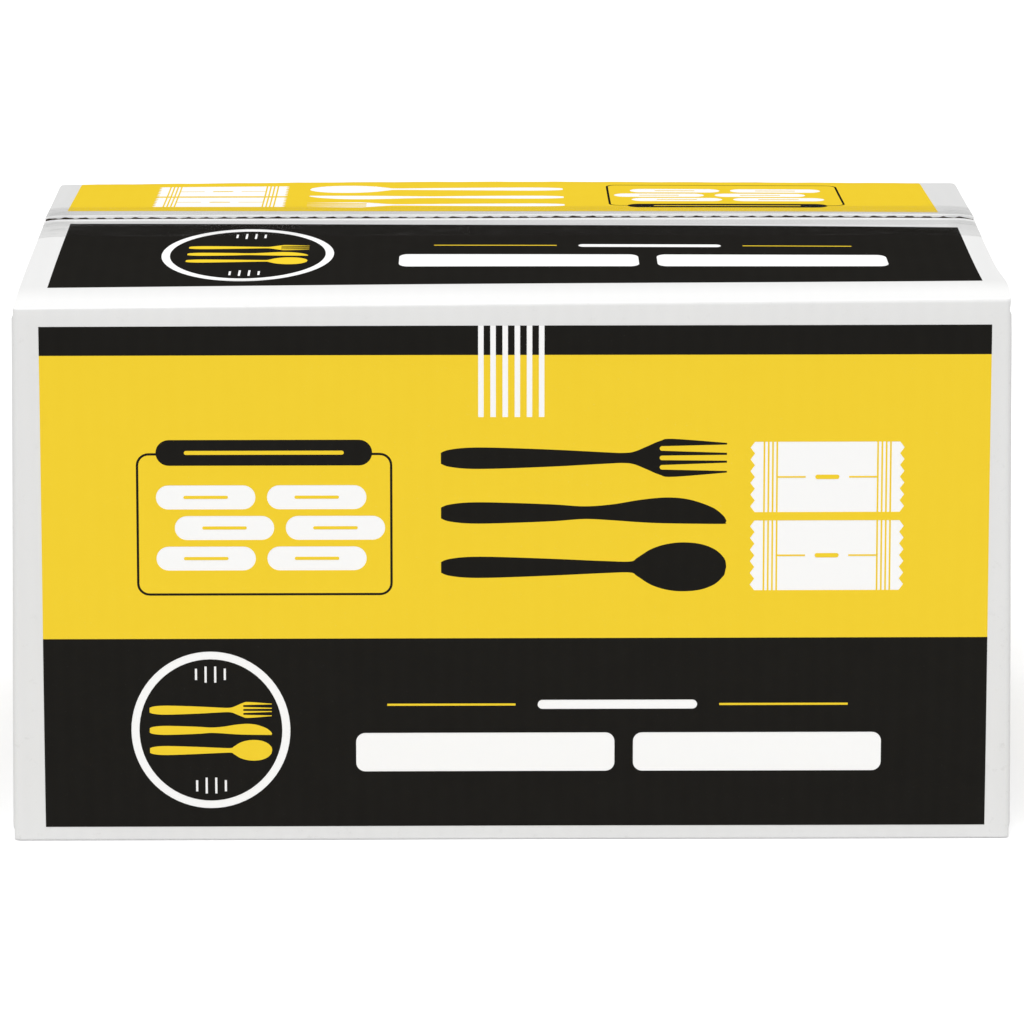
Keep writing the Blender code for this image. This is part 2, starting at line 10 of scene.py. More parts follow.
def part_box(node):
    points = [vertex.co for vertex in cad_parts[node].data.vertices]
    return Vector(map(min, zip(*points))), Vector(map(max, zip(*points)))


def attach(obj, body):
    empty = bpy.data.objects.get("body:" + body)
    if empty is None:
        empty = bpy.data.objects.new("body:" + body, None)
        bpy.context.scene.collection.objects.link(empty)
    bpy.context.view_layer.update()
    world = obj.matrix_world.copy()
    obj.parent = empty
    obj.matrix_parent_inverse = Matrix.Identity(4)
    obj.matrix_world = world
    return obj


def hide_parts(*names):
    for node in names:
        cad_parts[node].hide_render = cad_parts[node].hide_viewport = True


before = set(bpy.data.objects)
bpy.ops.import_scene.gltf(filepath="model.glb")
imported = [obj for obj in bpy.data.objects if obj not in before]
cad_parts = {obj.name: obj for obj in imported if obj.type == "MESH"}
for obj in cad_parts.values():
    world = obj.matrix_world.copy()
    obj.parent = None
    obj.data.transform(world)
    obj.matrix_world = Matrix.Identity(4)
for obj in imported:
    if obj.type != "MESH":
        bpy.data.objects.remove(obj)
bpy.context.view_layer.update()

# The board: one blank of white-faced corrugated board, creased, folded into a box and glued at one upright
# corner. The two long top flaps meet over the short ones, and the contents push them up along the middle.
# The far one rides a little higher, so its raw edge shows along the seam.

FOOT_FLARE = 0.0073
HEIGHT = 0.300
BOARD = 0.004
CORNER_RADIUS = 0.004
FOLD_RADIUS = 0.0045
CREASE_RADIUS = 0.0014
BOW = 0.0008
BOW_SHARE = 0.15
SEAM_RISE = 0.0128
SEAM_CROWN = 0.0008
END_DROP = 0.0026
END_DROP_REACH = 0.014
SEAM_GAP = 0.0012
FAR_FLAP_LIFT = 0.0015
CUTBACK_AT_FOLD = 0.0008
CUTBACK_AT_SEAM = 0.0052
HOLLOW_HEIGHT = 0.0012
HOLLOW_HALF_WIDTH = 0.045
HOLLOW_RAMP = 0.030
FLUTE_REACH = 0.0026
FLUTE_PITCH = 0.0098
GRID = 0.007
FINE_GRID = 0.0014
ARC_STEPS = 10
WELD = 1e-6

low_corner, high_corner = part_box("carton")
LENGTH = high_corner.x - low_corner.x - 2 * FOOT_FLARE
DEPTH = high_corner.y - low_corner.y
HALF_LENGTH = LENGTH / 2
HALF_DEPTH = DEPTH / 2
SLIT = SEAM_GAP / 2
FOLD_Y = HALF_DEPTH - CREASE_RADIUS
ROLL_REACH = BOW_SHARE * FOLD_Y


def end_x(z):
    """How far the end panel stands from the middle at height z: it leans out towards the foot."""
    return HALF_LENGTH + FOOT_FLARE * max(0.0, 1 - z / HEIGHT)


def rise(x):
    """How far the contents push the seam up: less at the ends, where the tape pulls it down."""
    crown = SEAM_CROWN * (x / HALF_LENGTH) ** 2
    near_end = max(0.0, (abs(x) - HALF_LENGTH + END_DROP_REACH) / END_DROP_REACH)
    return SEAM_RISE - crown - END_DROP * near_end ** 2


def toward_seam(y):
    """0 at a long fold, 1 at the seam."""
    return (FOLD_Y - abs(y)) / (FOLD_Y - SLIT)


def bow(share):
    """How far a long flap, rolling over its crease, stands above the straight line to the seam."""
    if share < BOW_SHARE:
        return BOW * (1 - (1 - share / BOW_SHARE) ** 2)
    return BOW * (1 - share) / (1 - BOW_SHARE)


def lid_z(x, y):
    """Height of the long top flaps' upper side."""
    lift = FAR_FLAP_LIFT if y > 0 else 0.0
    share = min(1.0, max(0.0, toward_seam(y)))
    return HEIGHT + (rise(x) + lift) * share + bow(share)


def foot_z(y):
    """Height of the long bottom flaps' under side: it is hollow along the seam, where the tape runs."""
    ramp = (HOLLOW_HALF_WIDTH + HOLLOW_RAMP - abs(y)) / HOLLOW_RAMP
    return HOLLOW_HEIGHT * min(1.0, max(0.0, ramp))


def flap_end(y, z):
    """Where the slanting end of a long flap stands."""
    share = min(1.0, max(0.0, toward_seam(y)))
    return end_x(z) - CUTBACK_AT_FOLD - (CUTBACK_AT_SEAM - CUTBACK_AT_FOLD) * share


def steps(start, stop, pitch):
    """Even values from start up to, but not at, stop."""
    count = max(1, round(abs(stop - start) / pitch))
    return [start + (stop - start) * i / count for i in range(count)]


def arc(centre, radius, start, stop, count=ARC_STEPS):
    angles = [math.radians(start + (stop - start) * i / count) for i in range(count + 1)]
    return [(centre[0] + radius * math.cos(a), centre[1] + radius * math.sin(a)) for a in angles]


SKIN_INSET = 0.00022
DENT = 0.00032
DENT_SPACING = (0.137, 0.101, 0.118)
FOLD_WAVE_REACH = 0.010
KNOCK_DEPTH = 0.0007
KNOCK_REACH = 0.024
KNOCK_SIDEWAYS = 0.58
KNOCK_INWARD = 0.4
BACK_CROWN = 0.0012
FRONT_SKEW = 0.0022
FOLD_REACH = 0.050
END_BEND = 0.0022
END_BEND_AT = -0.125
END_BEND_REACH = 0.022
END_BEND_DEPTH = 0.001
EDGE_ONLY = 60


def settle(p):
    """Moves a point of the ideal carton to where handling has left it: faint dents and a wavy fold,
    one knocked corner, one bent flap end, and long folds that aren't quite straight."""
    x, y, z = p
    corner = Vector((x - HALF_LENGTH, y + HALF_DEPTH, z - HEIGHT)).length
    push = KNOCK_DEPTH * max(0.0, 1 - corner / KNOCK_REACH) ** 2
    u, v, w = (value / spacing for value, spacing in zip(p, DENT_SPACING))
    front = 0.5 + 0.5 * math.sin(2.1 * u + 1.3) * math.cos(1.7 * w + 0.4 * u)
    side = 0.5 + 0.5 * math.cos(2.3 * v + 0.7) * math.sin(1.9 * w + 0.8)
    lid = 0.5 + 0.5 * math.sin(1.9 * u + 2.2) * math.cos(2.4 * v - 0.3)
    fold = math.exp(-((abs(y) - HALF_DEPTH) ** 2 + (z - HEIGHT) ** 2) / FOLD_WAVE_REACH ** 2)
    wavy = fold * DENT * (0.3 + 0.2 * math.sin(x / 0.0061) + 0.1 * math.sin(x / 0.0027 + 1.0))
    crown = BACK_CROWN * (1 - (x / HALF_LENGTH) ** 2) * math.exp(-((y - HALF_DEPTH) / FOLD_REACH) ** 2)
    skew = FRONT_SKEW * x / HALF_LENGTH * math.exp(-((y + HALF_DEPTH) / FOLD_REACH) ** 2)
    bend = END_BEND * math.exp(-((y - END_BEND_AT) / END_BEND_REACH) ** 2)
    bend *= max(0.0, x / HALF_LENGTH) ** EDGE_ONLY
    bend *= min(1.0, max(0.0, (z - HEIGHT + BOARD) / END_BEND_DEPTH))
    on_lid = min(1.0, max(0.0, z / HEIGHT)) ** EDGE_ONLY
    return Vector((x - (x / HALF_LENGTH) * (SKIN_INSET + DENT * side) - KNOCK_SIDEWAYS * push + bend,
                   y - (y / HALF_DEPTH) * (SKIN_INSET + DENT * front + wavy) + KNOCK_INWARD * push,
                   z - (z / HEIGHT) ** 4 * DENT * lid - wavy - KNOCK_INWARD * push
                   + on_lid * (crown + skew)))


def outline(x):
    """The section across the carton at x, as (y, z), once round from the front's foot."""
    r, wall = CREASE_RADIUS, SLIT + FLUTE_REACH
    top, rolled = HEIGHT - r, FOLD_Y - ROLL_REACH
    points = arc((-FOLD_Y, r), r, 270, 180)
    points += [(-HALF_DEPTH, z) for z in steps(r, top, GRID)[1:]]
    points += arc((-FOLD_Y, top), r, 180, 90)
    across = steps(-FOLD_Y, -rolled, FINE_GRID)[1:] + steps(-rolled, -wall, GRID)
    points += [(y, lid_z(x, y)) for y in across]
    near, far = lid_z(x, -wall), lid_z(x, wall)
    points += [(-wall, near), (-wall, near - BOARD), (wall, near - BOARD), (wall, far)]
    points += [(-y, lid_z(x, -y)) for y in reversed(across)]
    points += arc((FOLD_Y, top), r, 90, 0)
    points += [(HALF_DEPTH, z) for z in steps(top, r, GRID)[1:]]
    points += arc((FOLD_Y, r), r, 0, -90)
    flat = HOLLOW_HALF_WIDTH
    sides = [(flat + HOLLOW_RAMP, 0.0), (flat, HOLLOW_HEIGHT), (SLIT, HOLLOW_HEIGHT)]
    points += sides + [(SLIT, HOLLOW_HEIGHT + BOARD), (-SLIT, HOLLOW_HEIGHT + BOARD)]
    return points + [(-y, z) for y, z in reversed(sides)]


pulled = HALF_LENGTH - END_DROP_REACH
inner = HALF_LENGTH - CORNER_RADIUS
right_stations = steps(0.0, pulled, GRID) + steps(pulled, inner, FINE_GRID) + [inner]
stations = [-x for x in reversed(right_stations[1:])] + right_stations


def triangulated(points, edges):
    """Triangles through flat points and edges: their corners, and each triangle with its middle."""
    corners, made_edges, triangles, *origins = delaunay_2d_cdt(points, edges, [], 1, WELD)
    return corners, [(t, sum((corners[i] for i in t), Vector((0.0, 0.0))) / 3) for t in triangles]


def loop_edges(loop, first):
    return [(first + i, first + (i + 1) % len(loop)) for i in range(len(loop))]


def grid_points(u0, v0, u1, v1, pitch):
    return [Vector((u, v)) for u in steps(u0, u1, pitch)[1:] for v in steps(v0, v1, pitch)[1:]]


def inside(point, loop):
    """Whether a flat point lies in a closed loop."""
    u, v = point
    odd = False
    for (a, b), (c, d) in zip(loop, loop[1:] + loop[:1]):
        if (b > v) != (d > v) and u < a + (v - b) * (c - a) / (d - b):
            odd = not odd
    return odd


def join_rings(bm, rings, closed=True):
    """Quads between rings of points; each ring is closed, or open at its ends."""
    loops = [[bm.verts.new(p) for p in ring] for ring in rings]
    for ring, following in zip(loops, loops[1:]):
        for i in range(len(ring) if closed else len(ring) - 1):
            j = (i + 1) % len(ring)
            bm.faces.new((ring[i], following[i], following[j], ring[j]))
    return loops


def new_mesh(bm, name):
    bmesh.ops.remove_doubles(bm, verts=bm.verts, dist=WELD)
    bmesh.ops.recalc_face_normals(bm, faces=bm.faces)
    mesh = bpy.data.meshes.new(name)
    bm.to_mesh(mesh)
    bm.free()
    return mesh


def new_object(name, mesh):
    made = bpy.data.objects.new(name, mesh)
    bpy.context.scene.collection.objects.link(made)
    return made


def solid_through(name, rings):
    """A closed solid through rings of points."""
    bm = bmesh.new()
    loops = join_rings(bm, rings)
    bm.faces.new(loops[0])
    bm.faces.new(loops[-1])
    return new_mesh(bm, name)


def fill_end(bm, ring):
    """Small triangles across the outline of an end panel, so that the panel can take dents."""
    panel_x = ring[0][0]
    edge = [Vector((y, z)) for x, y, z in ring]
    filling = grid_points(-HALF_DEPTH, 0.0, HALF_DEPTH, HEIGHT + SEAM_RISE, GRID)
    filling = [p for p in filling if inside(p, edge)]
    corners, triangles = triangulated(edge + filling, loop_edges(edge, 0))
    verts = [bm.verts.new((panel_x, *corner)) for corner in corners]
    for triangle, middle in triangles:
        if inside(middle, edge):
            bm.faces.new([verts[i] for i in triangle])


def board_mesh():
    """The closed carton: its section drawn along X, with rounded upright folds and leaning ends."""
    bm = bmesh.new()
    join_rings(bm, [[(x, y, z) for y, z in outline(x)] for x in stations])
    section = outline(inner)
    for side in (1, -1):
        rings = []
        for i in range(ARC_STEPS + 1):
            turn = math.radians(90 * i / ARC_STEPS)
            squeeze = 1 - CORNER_RADIUS * (1 - math.cos(turn)) / HALF_DEPTH
            x = side * (inner + CORNER_RADIUS * math.sin(turn))
            rings.append([(x, y * squeeze, z) for y, z in section])
        join_rings(bm, rings)
        fill_end(bm, rings[-1])
    bmesh.ops.remove_doubles(bm, verts=bm.verts, dist=WELD)
    for vert in bm.verts:
        if abs(vert.co.x) >= inner - WELD:
            vert.co.x += math.copysign(end_x(vert.co.z) - HALF_LENGTH, vert.co.x)
    return new_mesh(bm, "board")


CUTTER_SPARE = 0.05
TANGENT_SPARE = 0.00002
END_GAP_REACH = 0.060
JOINT_GROOVE_WIDTH = 0.0010
JOINT_GROOVE_DEPTH = 0.0012


def flap_end_cutters():
    """What is cut off beyond the long flaps' ends, down to the short flaps' rounded folds."""
    spare, r = HALF_DEPTH + CUTTER_SPARE, FOLD_RADIUS
    cutters = []
    for side in (1, -1):
        for up, level in ((1, HEIGHT - BOARD), (-1, BOARD)):
            rings = []
            for y in (-spare, -HALF_DEPTH, 0.0, HALF_DEPTH, spare):
                panel = end_x(level - up * r) + TANGENT_SPARE
                last = math.degrees(math.acos((r - panel + flap_end(y, level)) / r))
                curve = arc((panel - r, level - up * r), r, 0, up * last)
                far_x, beyond = panel + CUTTER_SPARE, level + up * CUTTER_SPARE
                profile = [(far_x, curve[0][1])] + curve + [(curve[-1][0], beyond), (far_x, beyond)]
                rings.append([(side * x, y, z) for x, z in profile])
            cutters.append(solid_through("flap_end_cutter", rings))
    return cutters


def end_gap_cutters():
    """The open wedge between the lifted long flaps and the short flap under them, at each end."""
    outer_x = HALF_LENGTH + SEAM_GAP
    inner_x = HALF_LENGTH - FOLD_RADIUS - END_GAP_REACH
    level = HEIGHT - BOARD
    fall = rise(HALF_LENGTH) * (outer_x - HALF_LENGTH + FOLD_RADIUS) / END_GAP_REACH
    cutters = []
    for side in (1, -1):
        rings = []
        for y in steps(-FOLD_Y, -SLIT, GRID) + [-SLIT] + steps(SLIT, FOLD_Y, GRID) + [FOLD_Y]:
            under = max(lid_z(-HALF_LENGTH, -abs(y)) - BOARD, level + TANGENT_SPARE)
            rings.append([(side * outer_x, y, level - fall), (side * outer_x, y, under),
                          (side * inner_x, y, under)])
        cutters.append(solid_through("end_gap_cutter", rings))
    return cutters


def joint_cutter():
    """The line on the back where the end panel's raw edge meets the glued lap."""
    x0 = -HALF_LENGTH + CORNER_RADIUS
    x1 = x0 + JOINT_GROOVE_WIDTH
    inner_y, outer_y = HALF_DEPTH - JOINT_GROOVE_DEPTH, HALF_DEPTH + CUTTER_SPARE
    spare = FOLD_RADIUS + BOARD
    rings = [[(x0, inner_y, z), (x1, inner_y, z), (x1, outer_y, z), (x0, outer_y, z)]
             for z in (spare, HEIGHT - spare)]
    return solid_through("joint_cutter", rings)


def cut(piece, meshes):
    """Cuts solids out of a piece and keeps the result as its mesh."""
    cutters = [new_object("cutter", mesh) for mesh in meshes]
    for cutter in cutters:
        modifier = piece.modifiers.new("cut", "BOOLEAN")
        modifier.operation = "DIFFERENCE"
        modifier.solver = "EXACT"
        modifier.object = cutter
    bpy.context.view_layer.update()
    result = bpy.data.meshes.new_from_object(piece.evaluated_get(bpy.context.evaluated_depsgraph_get()))
    piece.modifiers.clear()
    piece.data = result
    for cutter in cutters:
        bpy.data.objects.remove(cutter, do_unlink=True)


def settle_mesh(mesh):
    for vert in mesh.vertices:
        vert.co = settle(vert.co)


def shade(piece, angle=30):
    piece.data.shade_smooth()
    piece.data.set_sharp_from_angle(angle=math.radians(angle))


class Value:
    """A shader socket; its operators add Math nodes, so that shader maths reads as an expression."""

    def __init__(self, nodes, socket):
        self.nodes = nodes
        self.socket = socket

    def math(self, operation, *others):
        return self.nodes.math(operation, self, *others)

    def __add__(self, other):
        return self.math("ADD", other)

    def __radd__(self, other):
        return self.nodes.math("ADD", other, self)

    def __sub__(self, other):
        return self.math("SUBTRACT", other)

    def __rsub__(self, other):
        return self.nodes.math("SUBTRACT", other, self)

    def __mul__(self, other):
        return self.math("MULTIPLY", other)

    def __rmul__(self, other):
        return self.nodes.math("MULTIPLY", other, self)

    def __truediv__(self, other):
        return self.math("DIVIDE", other)

    def __rtruediv__(self, other):
        return self.nodes.math("DIVIDE", other, self)

    def __gt__(self, other):
        return self.math("GREATER_THAN", other)

    def __lt__(self, other):
        return self.math("LESS_THAN", other)


class Nodes:
    """A node tree; one method adds any node, and the rest are short names for common ones."""

    def __init__(self, tree):
        self.tree = tree

    def feed(self, socket, value):
        if isinstance(value, Value):
            self.tree.links.new(value.socket, socket)
        elif isinstance(value, (tuple, list)) and len(socket.default_value) == 4:
            socket.default_value = (*value, 1.0)
        else:
            socket.default_value = value

    def add(self, kind, settings, inputs):
        """Adds a node: its settings first, then values or links by socket name or number."""
        node = self.tree.nodes.new(kind)
        for name, value in settings.items():
            if name == "stops":
                while len(node.color_ramp.elements) < len(value):
                    node.color_ramp.elements.new(1.0)
                for element, (position, grey) in zip(node.color_ramp.elements, value):
                    element.position = position
                    element.color = (grey, grey, grey, 1.0)
            else:
                setattr(node, name, value)
        for name, value in inputs.items():
            self.feed(node.inputs[name], value)
        found = {socket.name: Value(self, socket) for socket in node.outputs if socket.enabled}
        found.update({i: Value(self, socket) for i, socket in enumerate(node.outputs)})
        return found

    def math(self, operation, *values):
        return self.add("ShaderNodeMath", {"operation": operation}, dict(enumerate(values)))[0]

    def mix(self, share, first, second):
        return self.add("ShaderNodeMix", {"data_type": "RGBA"}, {0: share, 6: first, 7: second})[2]


class Finish(Nodes):
    """A material round one Principled shader."""

    def __init__(self, name, constants):
        self.material = bpy.data.materials.new(name)
        self.material.use_nodes = True
        super().__init__(self.material.node_tree)
        self.shader = self.tree.nodes["Principled BSDF"]
        for socket, value in constants.items():
            self.feed(self.shader.inputs[socket], value)
        self.place = self.add("ShaderNodeTexCoord", {}, {})["Object"]
        self.facing = self.add("ShaderNodeNewGeometry", {}, {})["Normal"]

    def noise(self, scale, detail=3.0, roughness=0.55, stretch=None):
        place = self.place
        if stretch:
            place = self.add("ShaderNodeVectorMath", {"operation": "MULTIPLY"}, {0: place, 1: stretch})[0]
        return self.add("ShaderNodeTexNoise", {}, {"Vector": place, "Scale": scale, "Detail": detail,
                                                   "Roughness": roughness})[0]

    def ramp(self, value, *stops):
        return self.add("ShaderNodeValToRGB", {"stops": stops}, {0: value})[0]

    def parts(self, vector):
        found = self.add("ShaderNodeSeparateXYZ", {}, {0: vector})
        return found["X"], found["Y"], found["Z"]

    def washboard(self):
        """The faint ribs of the flutes: across the long panels and flaps, and along Y on the ends."""
        x, y, z = self.parts(self.place)
        on_end = self.parts(self.facing)[0].math("ABSOLUTE") > 0.7
        along = x * (1 - on_end) + y * on_end
        wander = self.noise(9.0, 1.0) * 2.2
        return (along * (2 * math.pi / FLUTE_PITCH) + wander).math("SINE") * 0.5 + 0.5

    def relief(self, height, distance, strength):
        normal = self.add("ShaderNodeBump", {}, {"Height": height, "Distance": distance,
                                                 "Strength": strength})["Normal"]
        self.feed(self.shader.inputs["Normal"], normal)

    def set(self, **sockets):
        for name, value in sockets.items():
            self.feed(self.shader.inputs[name.replace("_", " ")], value)


LINER_DARK, LINER_LIGHT = (0.77, 0.77, 0.765), (0.83, 0.83, 0.825)
# Bright white for bare board inside the printed fields, also used as painted light over the front fold and
# along the seam.
FIELD_WHITE_AND_PAINTED_LIGHT = (0.98, 0.98, 0.975)
RIB_GREY = (0.72, 0.72, 0.715)
RUB_GREY = (0.46, 0.45, 0.43)
# Painted shade for the far flap's bare board, which faces away from the light.
FAR_FLAP_PAINTED_SHADE = (0.30, 0.30, 0.30)
SPECK_TAN = (0.60, 0.57, 0.52)
# Kraft browns painted darker than the bare medium: painted shade in the seam and under the flaps.
KRAFT_AND_SHADE_DARK, KRAFT_AND_SHADE_LIGHT = (0.075, 0.052, 0.034), (0.20, 0.145, 0.095)
WALL_FIELD, WALL_FIELD_SHARE = (0.0085, HEIGHT - 0.0122), 0.94
NEAR_FIELD, FAR_FIELD, LID_FIELD_SHARE = (-0.112, -0.020), (0.030, 0.145), 0.88


def between(value, bounds):
    low, high = bounds
    return (value > low) * (value < high)


def board_finish():
    """White clay-coated liner: fibres, cloudy formation, faint flute ribs and grey rubs at the folds.
    It is brightest inside the printed fields. Over the front fold's roll it has a painted highlight,
    along the seam painted light, and on the far flap's bare board painted shade."""
    made = Finish("white_board", {"Specular IOR Level": 0.25})
    fibre = made.noise(1500.0, 4.0, 0.6)
    cloud = made.noise(22.0, 4.0, 0.6)
    ribs = made.washboard()
    x, y, z = made.parts(made.place)
    from_side = x.math("ABSOLUTE") / HALF_LENGTH
    from_face = y.math("ABSOLUTE") / HALF_DEPTH
    edge = made.ramp(from_side, (0.965, 0.0), (1.0, 1.0)) + made.ramp(from_face, (0.95, 0.0), (1.0, 1.0))
    edge = edge + made.ramp(z / HEIGHT, (0.0, 1.0), (0.035, 0.0))
    rub = made.ramp(made.noise(160.0, 6.0, 0.7), (0.60, 0.0), (0.72, 1.0)) * edge * 0.12
    speck = made.ramp(made.noise(700.0, 2.0), (0.76, 0.0), (0.80, 1.0)) * 0.25
    on_wall = (from_face > 0.985) * between(z, WALL_FIELD) * (from_side < WALL_FIELD_SHARE)
    lid = made.parts(made.facing)[2] > 0.8
    fields = between(y, NEAR_FIELD) + between(y, FAR_FIELD)
    printed = on_wall + lid * (from_side < LID_FIELD_SHARE) * fields
    # Painted highlight: bare board on the lid is painted lighter over the front fold's roll, which faces the
    # light.
    rolled = made.ramp(y / -HALF_DEPTH, (0.78, 0.0), (0.92, 1.0)) * lid
    # Painted light: bare board within a few millimetres of the seam, raw edges included, is painted nearly
    # white although that edge lies in shade.
    seam_painted_light = (from_face < 0.03) * (z > HEIGHT + SEAM_RISE / 2)
    white_fields_and_painted_light = printed + rolled * 0.55 + seam_painted_light
    tone = made.mix(cloud * 0.5 + fibre * 0.5, LINER_DARK, LINER_LIGHT)
    tone = made.mix(ribs * 0.10, tone, RIB_GREY)
    tone = made.mix(rub, tone, RUB_GREY)
    tone = made.mix(white_fields_and_painted_light.math("MINIMUM", 1.0), tone, FIELD_WHITE_AND_PAINTED_LIGHT)
    # Painted shade: bare board on the far flap, which faces away from the light, is darkened towards grey.
    tone = made.mix(lid * (y > 0.004) * (1 - printed) * 0.19, tone, FAR_FLAP_PAINTED_SHADE)
    made.set(Base_Color=made.mix(speck, tone, SPECK_TAN), Roughness=0.62 + fibre * 0.16 + rub)
    made.relief(fibre * 0.25 + ribs * 0.45 + cloud * 0.5, 0.0003, 0.35)
    return made.material


def kraft_and_shade_finish():
    """Brown fluting medium and inner liner, seen at raw edges and under the lifted flaps. Its brown
    is painted much darker than bare kraft, as painted shade in the seam and under the flaps.
    """
    made = Finish("kraft_medium_and_painted_shade", {"Specular IOR Level": 0.2})
    fibre = made.noise(900.0, 5.0, 0.65, (0.3, 1.0, 1.0))
    streak = made.noise(120.0, 3.0)
    made.set(Base_Color=made.mix(fibre * 0.6 + streak * 0.4, KRAFT_AND_SHADE_DARK, KRAFT_AND_SHADE_LIGHT),
             Roughness=0.75 + fibre * 0.15)
    made.relief(fibre, 0.0002, 0.4)
    return made.material


white_board = board_finish()
kraft_and_shade = kraft_and_shade_finish()
board = new_object("folded_board", board_mesh())
cut(board, flap_end_cutters() + end_gap_cutters() + [joint_cutter()])
board.data.materials.clear()
board.data.materials.append(white_board)
board.data.materials.append(kraft_and_shade)
for face in board.data.polygons:
    x, y, z = face.center
    in_seam = abs(y) < SLIT + FLUTE_REACH + WELD and z < lid_z(x, y) - WELD and abs(face.normal.y) > 0.5
    under_flap = face.normal.z < -0.5 and z > HEIGHT - BOARD - FOLD_RADIUS
    if z > HEIGHT / 2 and (in_seam or under_flap):
        face.material_index = 1
settle_mesh(board.data)
shade(board)
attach(board, "root")
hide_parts("carton")

# The seam's raw edges: where the blank was cut across its flutes, the wave of brown medium shows between
# the two white liners of each long flap. The far flap's edge faces the front and stands above the near flap.

LINER = 0.0004
MEDIUM = 0.0003
CRUSHED_EDGE = 0.00104
CRUSH_WAVE = 0.00034
WAVE_STEPS = 14
seam_reach = flap_end(0.0, HEIGHT)
wave_stations = steps(-seam_reach, seam_reach, FLUTE_PITCH / WAVE_STEPS) + [seam_reach]


def edge_strip(side, bottom, top):
    """A strip along the seam between two heights under the lid, each a function of x."""
    near_y, wall_y = side * SLIT, side * (SLIT + FLUTE_REACH)
    rings = []
    for x in wave_stations:
        near, wall = lid_z(x, near_y), lid_z(x, wall_y)
        rings.append([settle((x, near_y, near + bottom(x))), settle((x, wall_y, wall + bottom(x))),
                      settle((x, wall_y, wall + top(x))), settle((x, near_y, near + top(x)))])
    return rings


def wave(x):
    """Height of the fluted medium under the lid."""
    reach = (BOARD - CRUSHED_EDGE - CRUSH_WAVE - LINER - MEDIUM) / 2
    return LINER - BOARD + MEDIUM / 2 + reach * (1 + math.sin(2 * math.pi * x / FLUTE_PITCH))


def crushed(x):
    """The lower side of a top liner, pinched down over the flutes by the slitting knife."""
    ripple = math.sin(2 * math.pi * x / FLUTE_PITCH + 0.6 * math.sin(x / 0.041))
    ragged = 0.5 * math.sin(x / 0.0137 + 2.0) * math.sin(x / 0.0312)
    ragged += 0.4 * math.sin(x / 0.00061 + 3 * math.sin(x / 0.009))
    return -CRUSHED_EDGE - CRUSH_WAVE * (ripple + ragged)


for side, flap in ((-1, "near"), (1, "far")):
    bm = bmesh.new()
    for bottom, top in ((crushed, lambda x: 0.0), (lambda x: -BOARD, lambda x: LINER - BOARD)):
        loops = join_rings(bm, edge_strip(side, bottom, top))
        bm.faces.new(loops[0])
        bm.faces.new(loops[-1])
    liners = new_object(f"{flap}_seam_liners", new_mesh(bm, "seam_liners"))
    liners.data.materials.append(white_board)
    medium = new_object(f"{flap}_seam_flutes", solid_through("seam_flutes", edge_strip(
        side, lambda x: wave(x) - MEDIUM / 2, lambda x: wave(x) + MEDIUM / 2)))
    medium.data.materials.append(kraft_and_shade)
    for piece in (liners, medium):
        shade(piece)
        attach(piece, "root")
        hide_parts("carton")

# The print: flat water-based inks, yellow and black, laid on the board by a flexographic press before it
# was folded: bands and fields, plain pictures of the contents, and plain bars. What is white is bare board,
# so each ink has holes there.

INK_BASE = 0.00003
INK_TOP = 0.00011
INK_GRID = 0.008
ART_WIDTH = 0.511
ART_HEIGHT = 0.280
BAND_HEIGHT = 0.016
BASE_HEIGHT = 0.107
FINE_STEPS = 7
ROUND_STEPS = 72
CURVE_STEPS = 6
PILL_ROUNDING = 0.999
BARE, YELLOW, BLACK = "bare", "yellow_ink", "black_ink"


def rectangle(u0, v0, u1, v1):
    return [(u0, v0), (u1, v0), (u1, v1), (u0, v1)]


def rounded(u0, v0, u1, v1, radius):
    corners = [(u1 - radius, v1 - radius, 0), (u0 + radius, v1 - radius, 90),
               (u0 + radius, v0 + radius, 180), (u1 - radius, v0 + radius, 270)]
    return [p for u, v, start in corners for p in arc((u, v), radius, start, start + 90, FINE_STEPS)]


def pill(u, v, width, height):
    radius = height / 2 * PILL_ROUNDING
    return rounded(u - width / 2, v - height / 2, u + width / 2, v + height / 2, radius)


def oval(u, v, half_width, half_height):
    unit = arc((0.0, 0.0), 1.0, 0, 360 * (1 - 1 / ROUND_STEPS), ROUND_STEPS - 1)
    return [(u + half_width * a, v + half_height * b) for a, b in unit]


def smooth(points):
    """A Catmull-Rom curve through points."""
    padded = [points[0]] + points + [points[-1]]
    curve = []
    for a, b, c, d in zip(padded, padded[1:], padded[2:], padded[3:]):
        for i in range(CURVE_STEPS):
            t = i / CURVE_STEPS
            weights = (-t + 2 * t * t - t ** 3, 2 - 5 * t * t + 3 * t ** 3,
                       t + 4 * t * t - 3 * t ** 3, t ** 3 - t * t)
            curve.append(tuple(sum(w * p[k] for w, p in zip(weights, (a, b, c, d))) / 2 for k in (0, 1)))
    return curve + [points[-1]]


def silhouette(upper, lower):
    """A loop in metres from an upper and a lower edge in millimetres, both from the handle's end."""
    return [(u / 1000, v / 1000) for u, v in smooth(lower) + list(reversed(smooth(upper)))]


def flipped(points):
    return [(u, -v) for u, v in points]


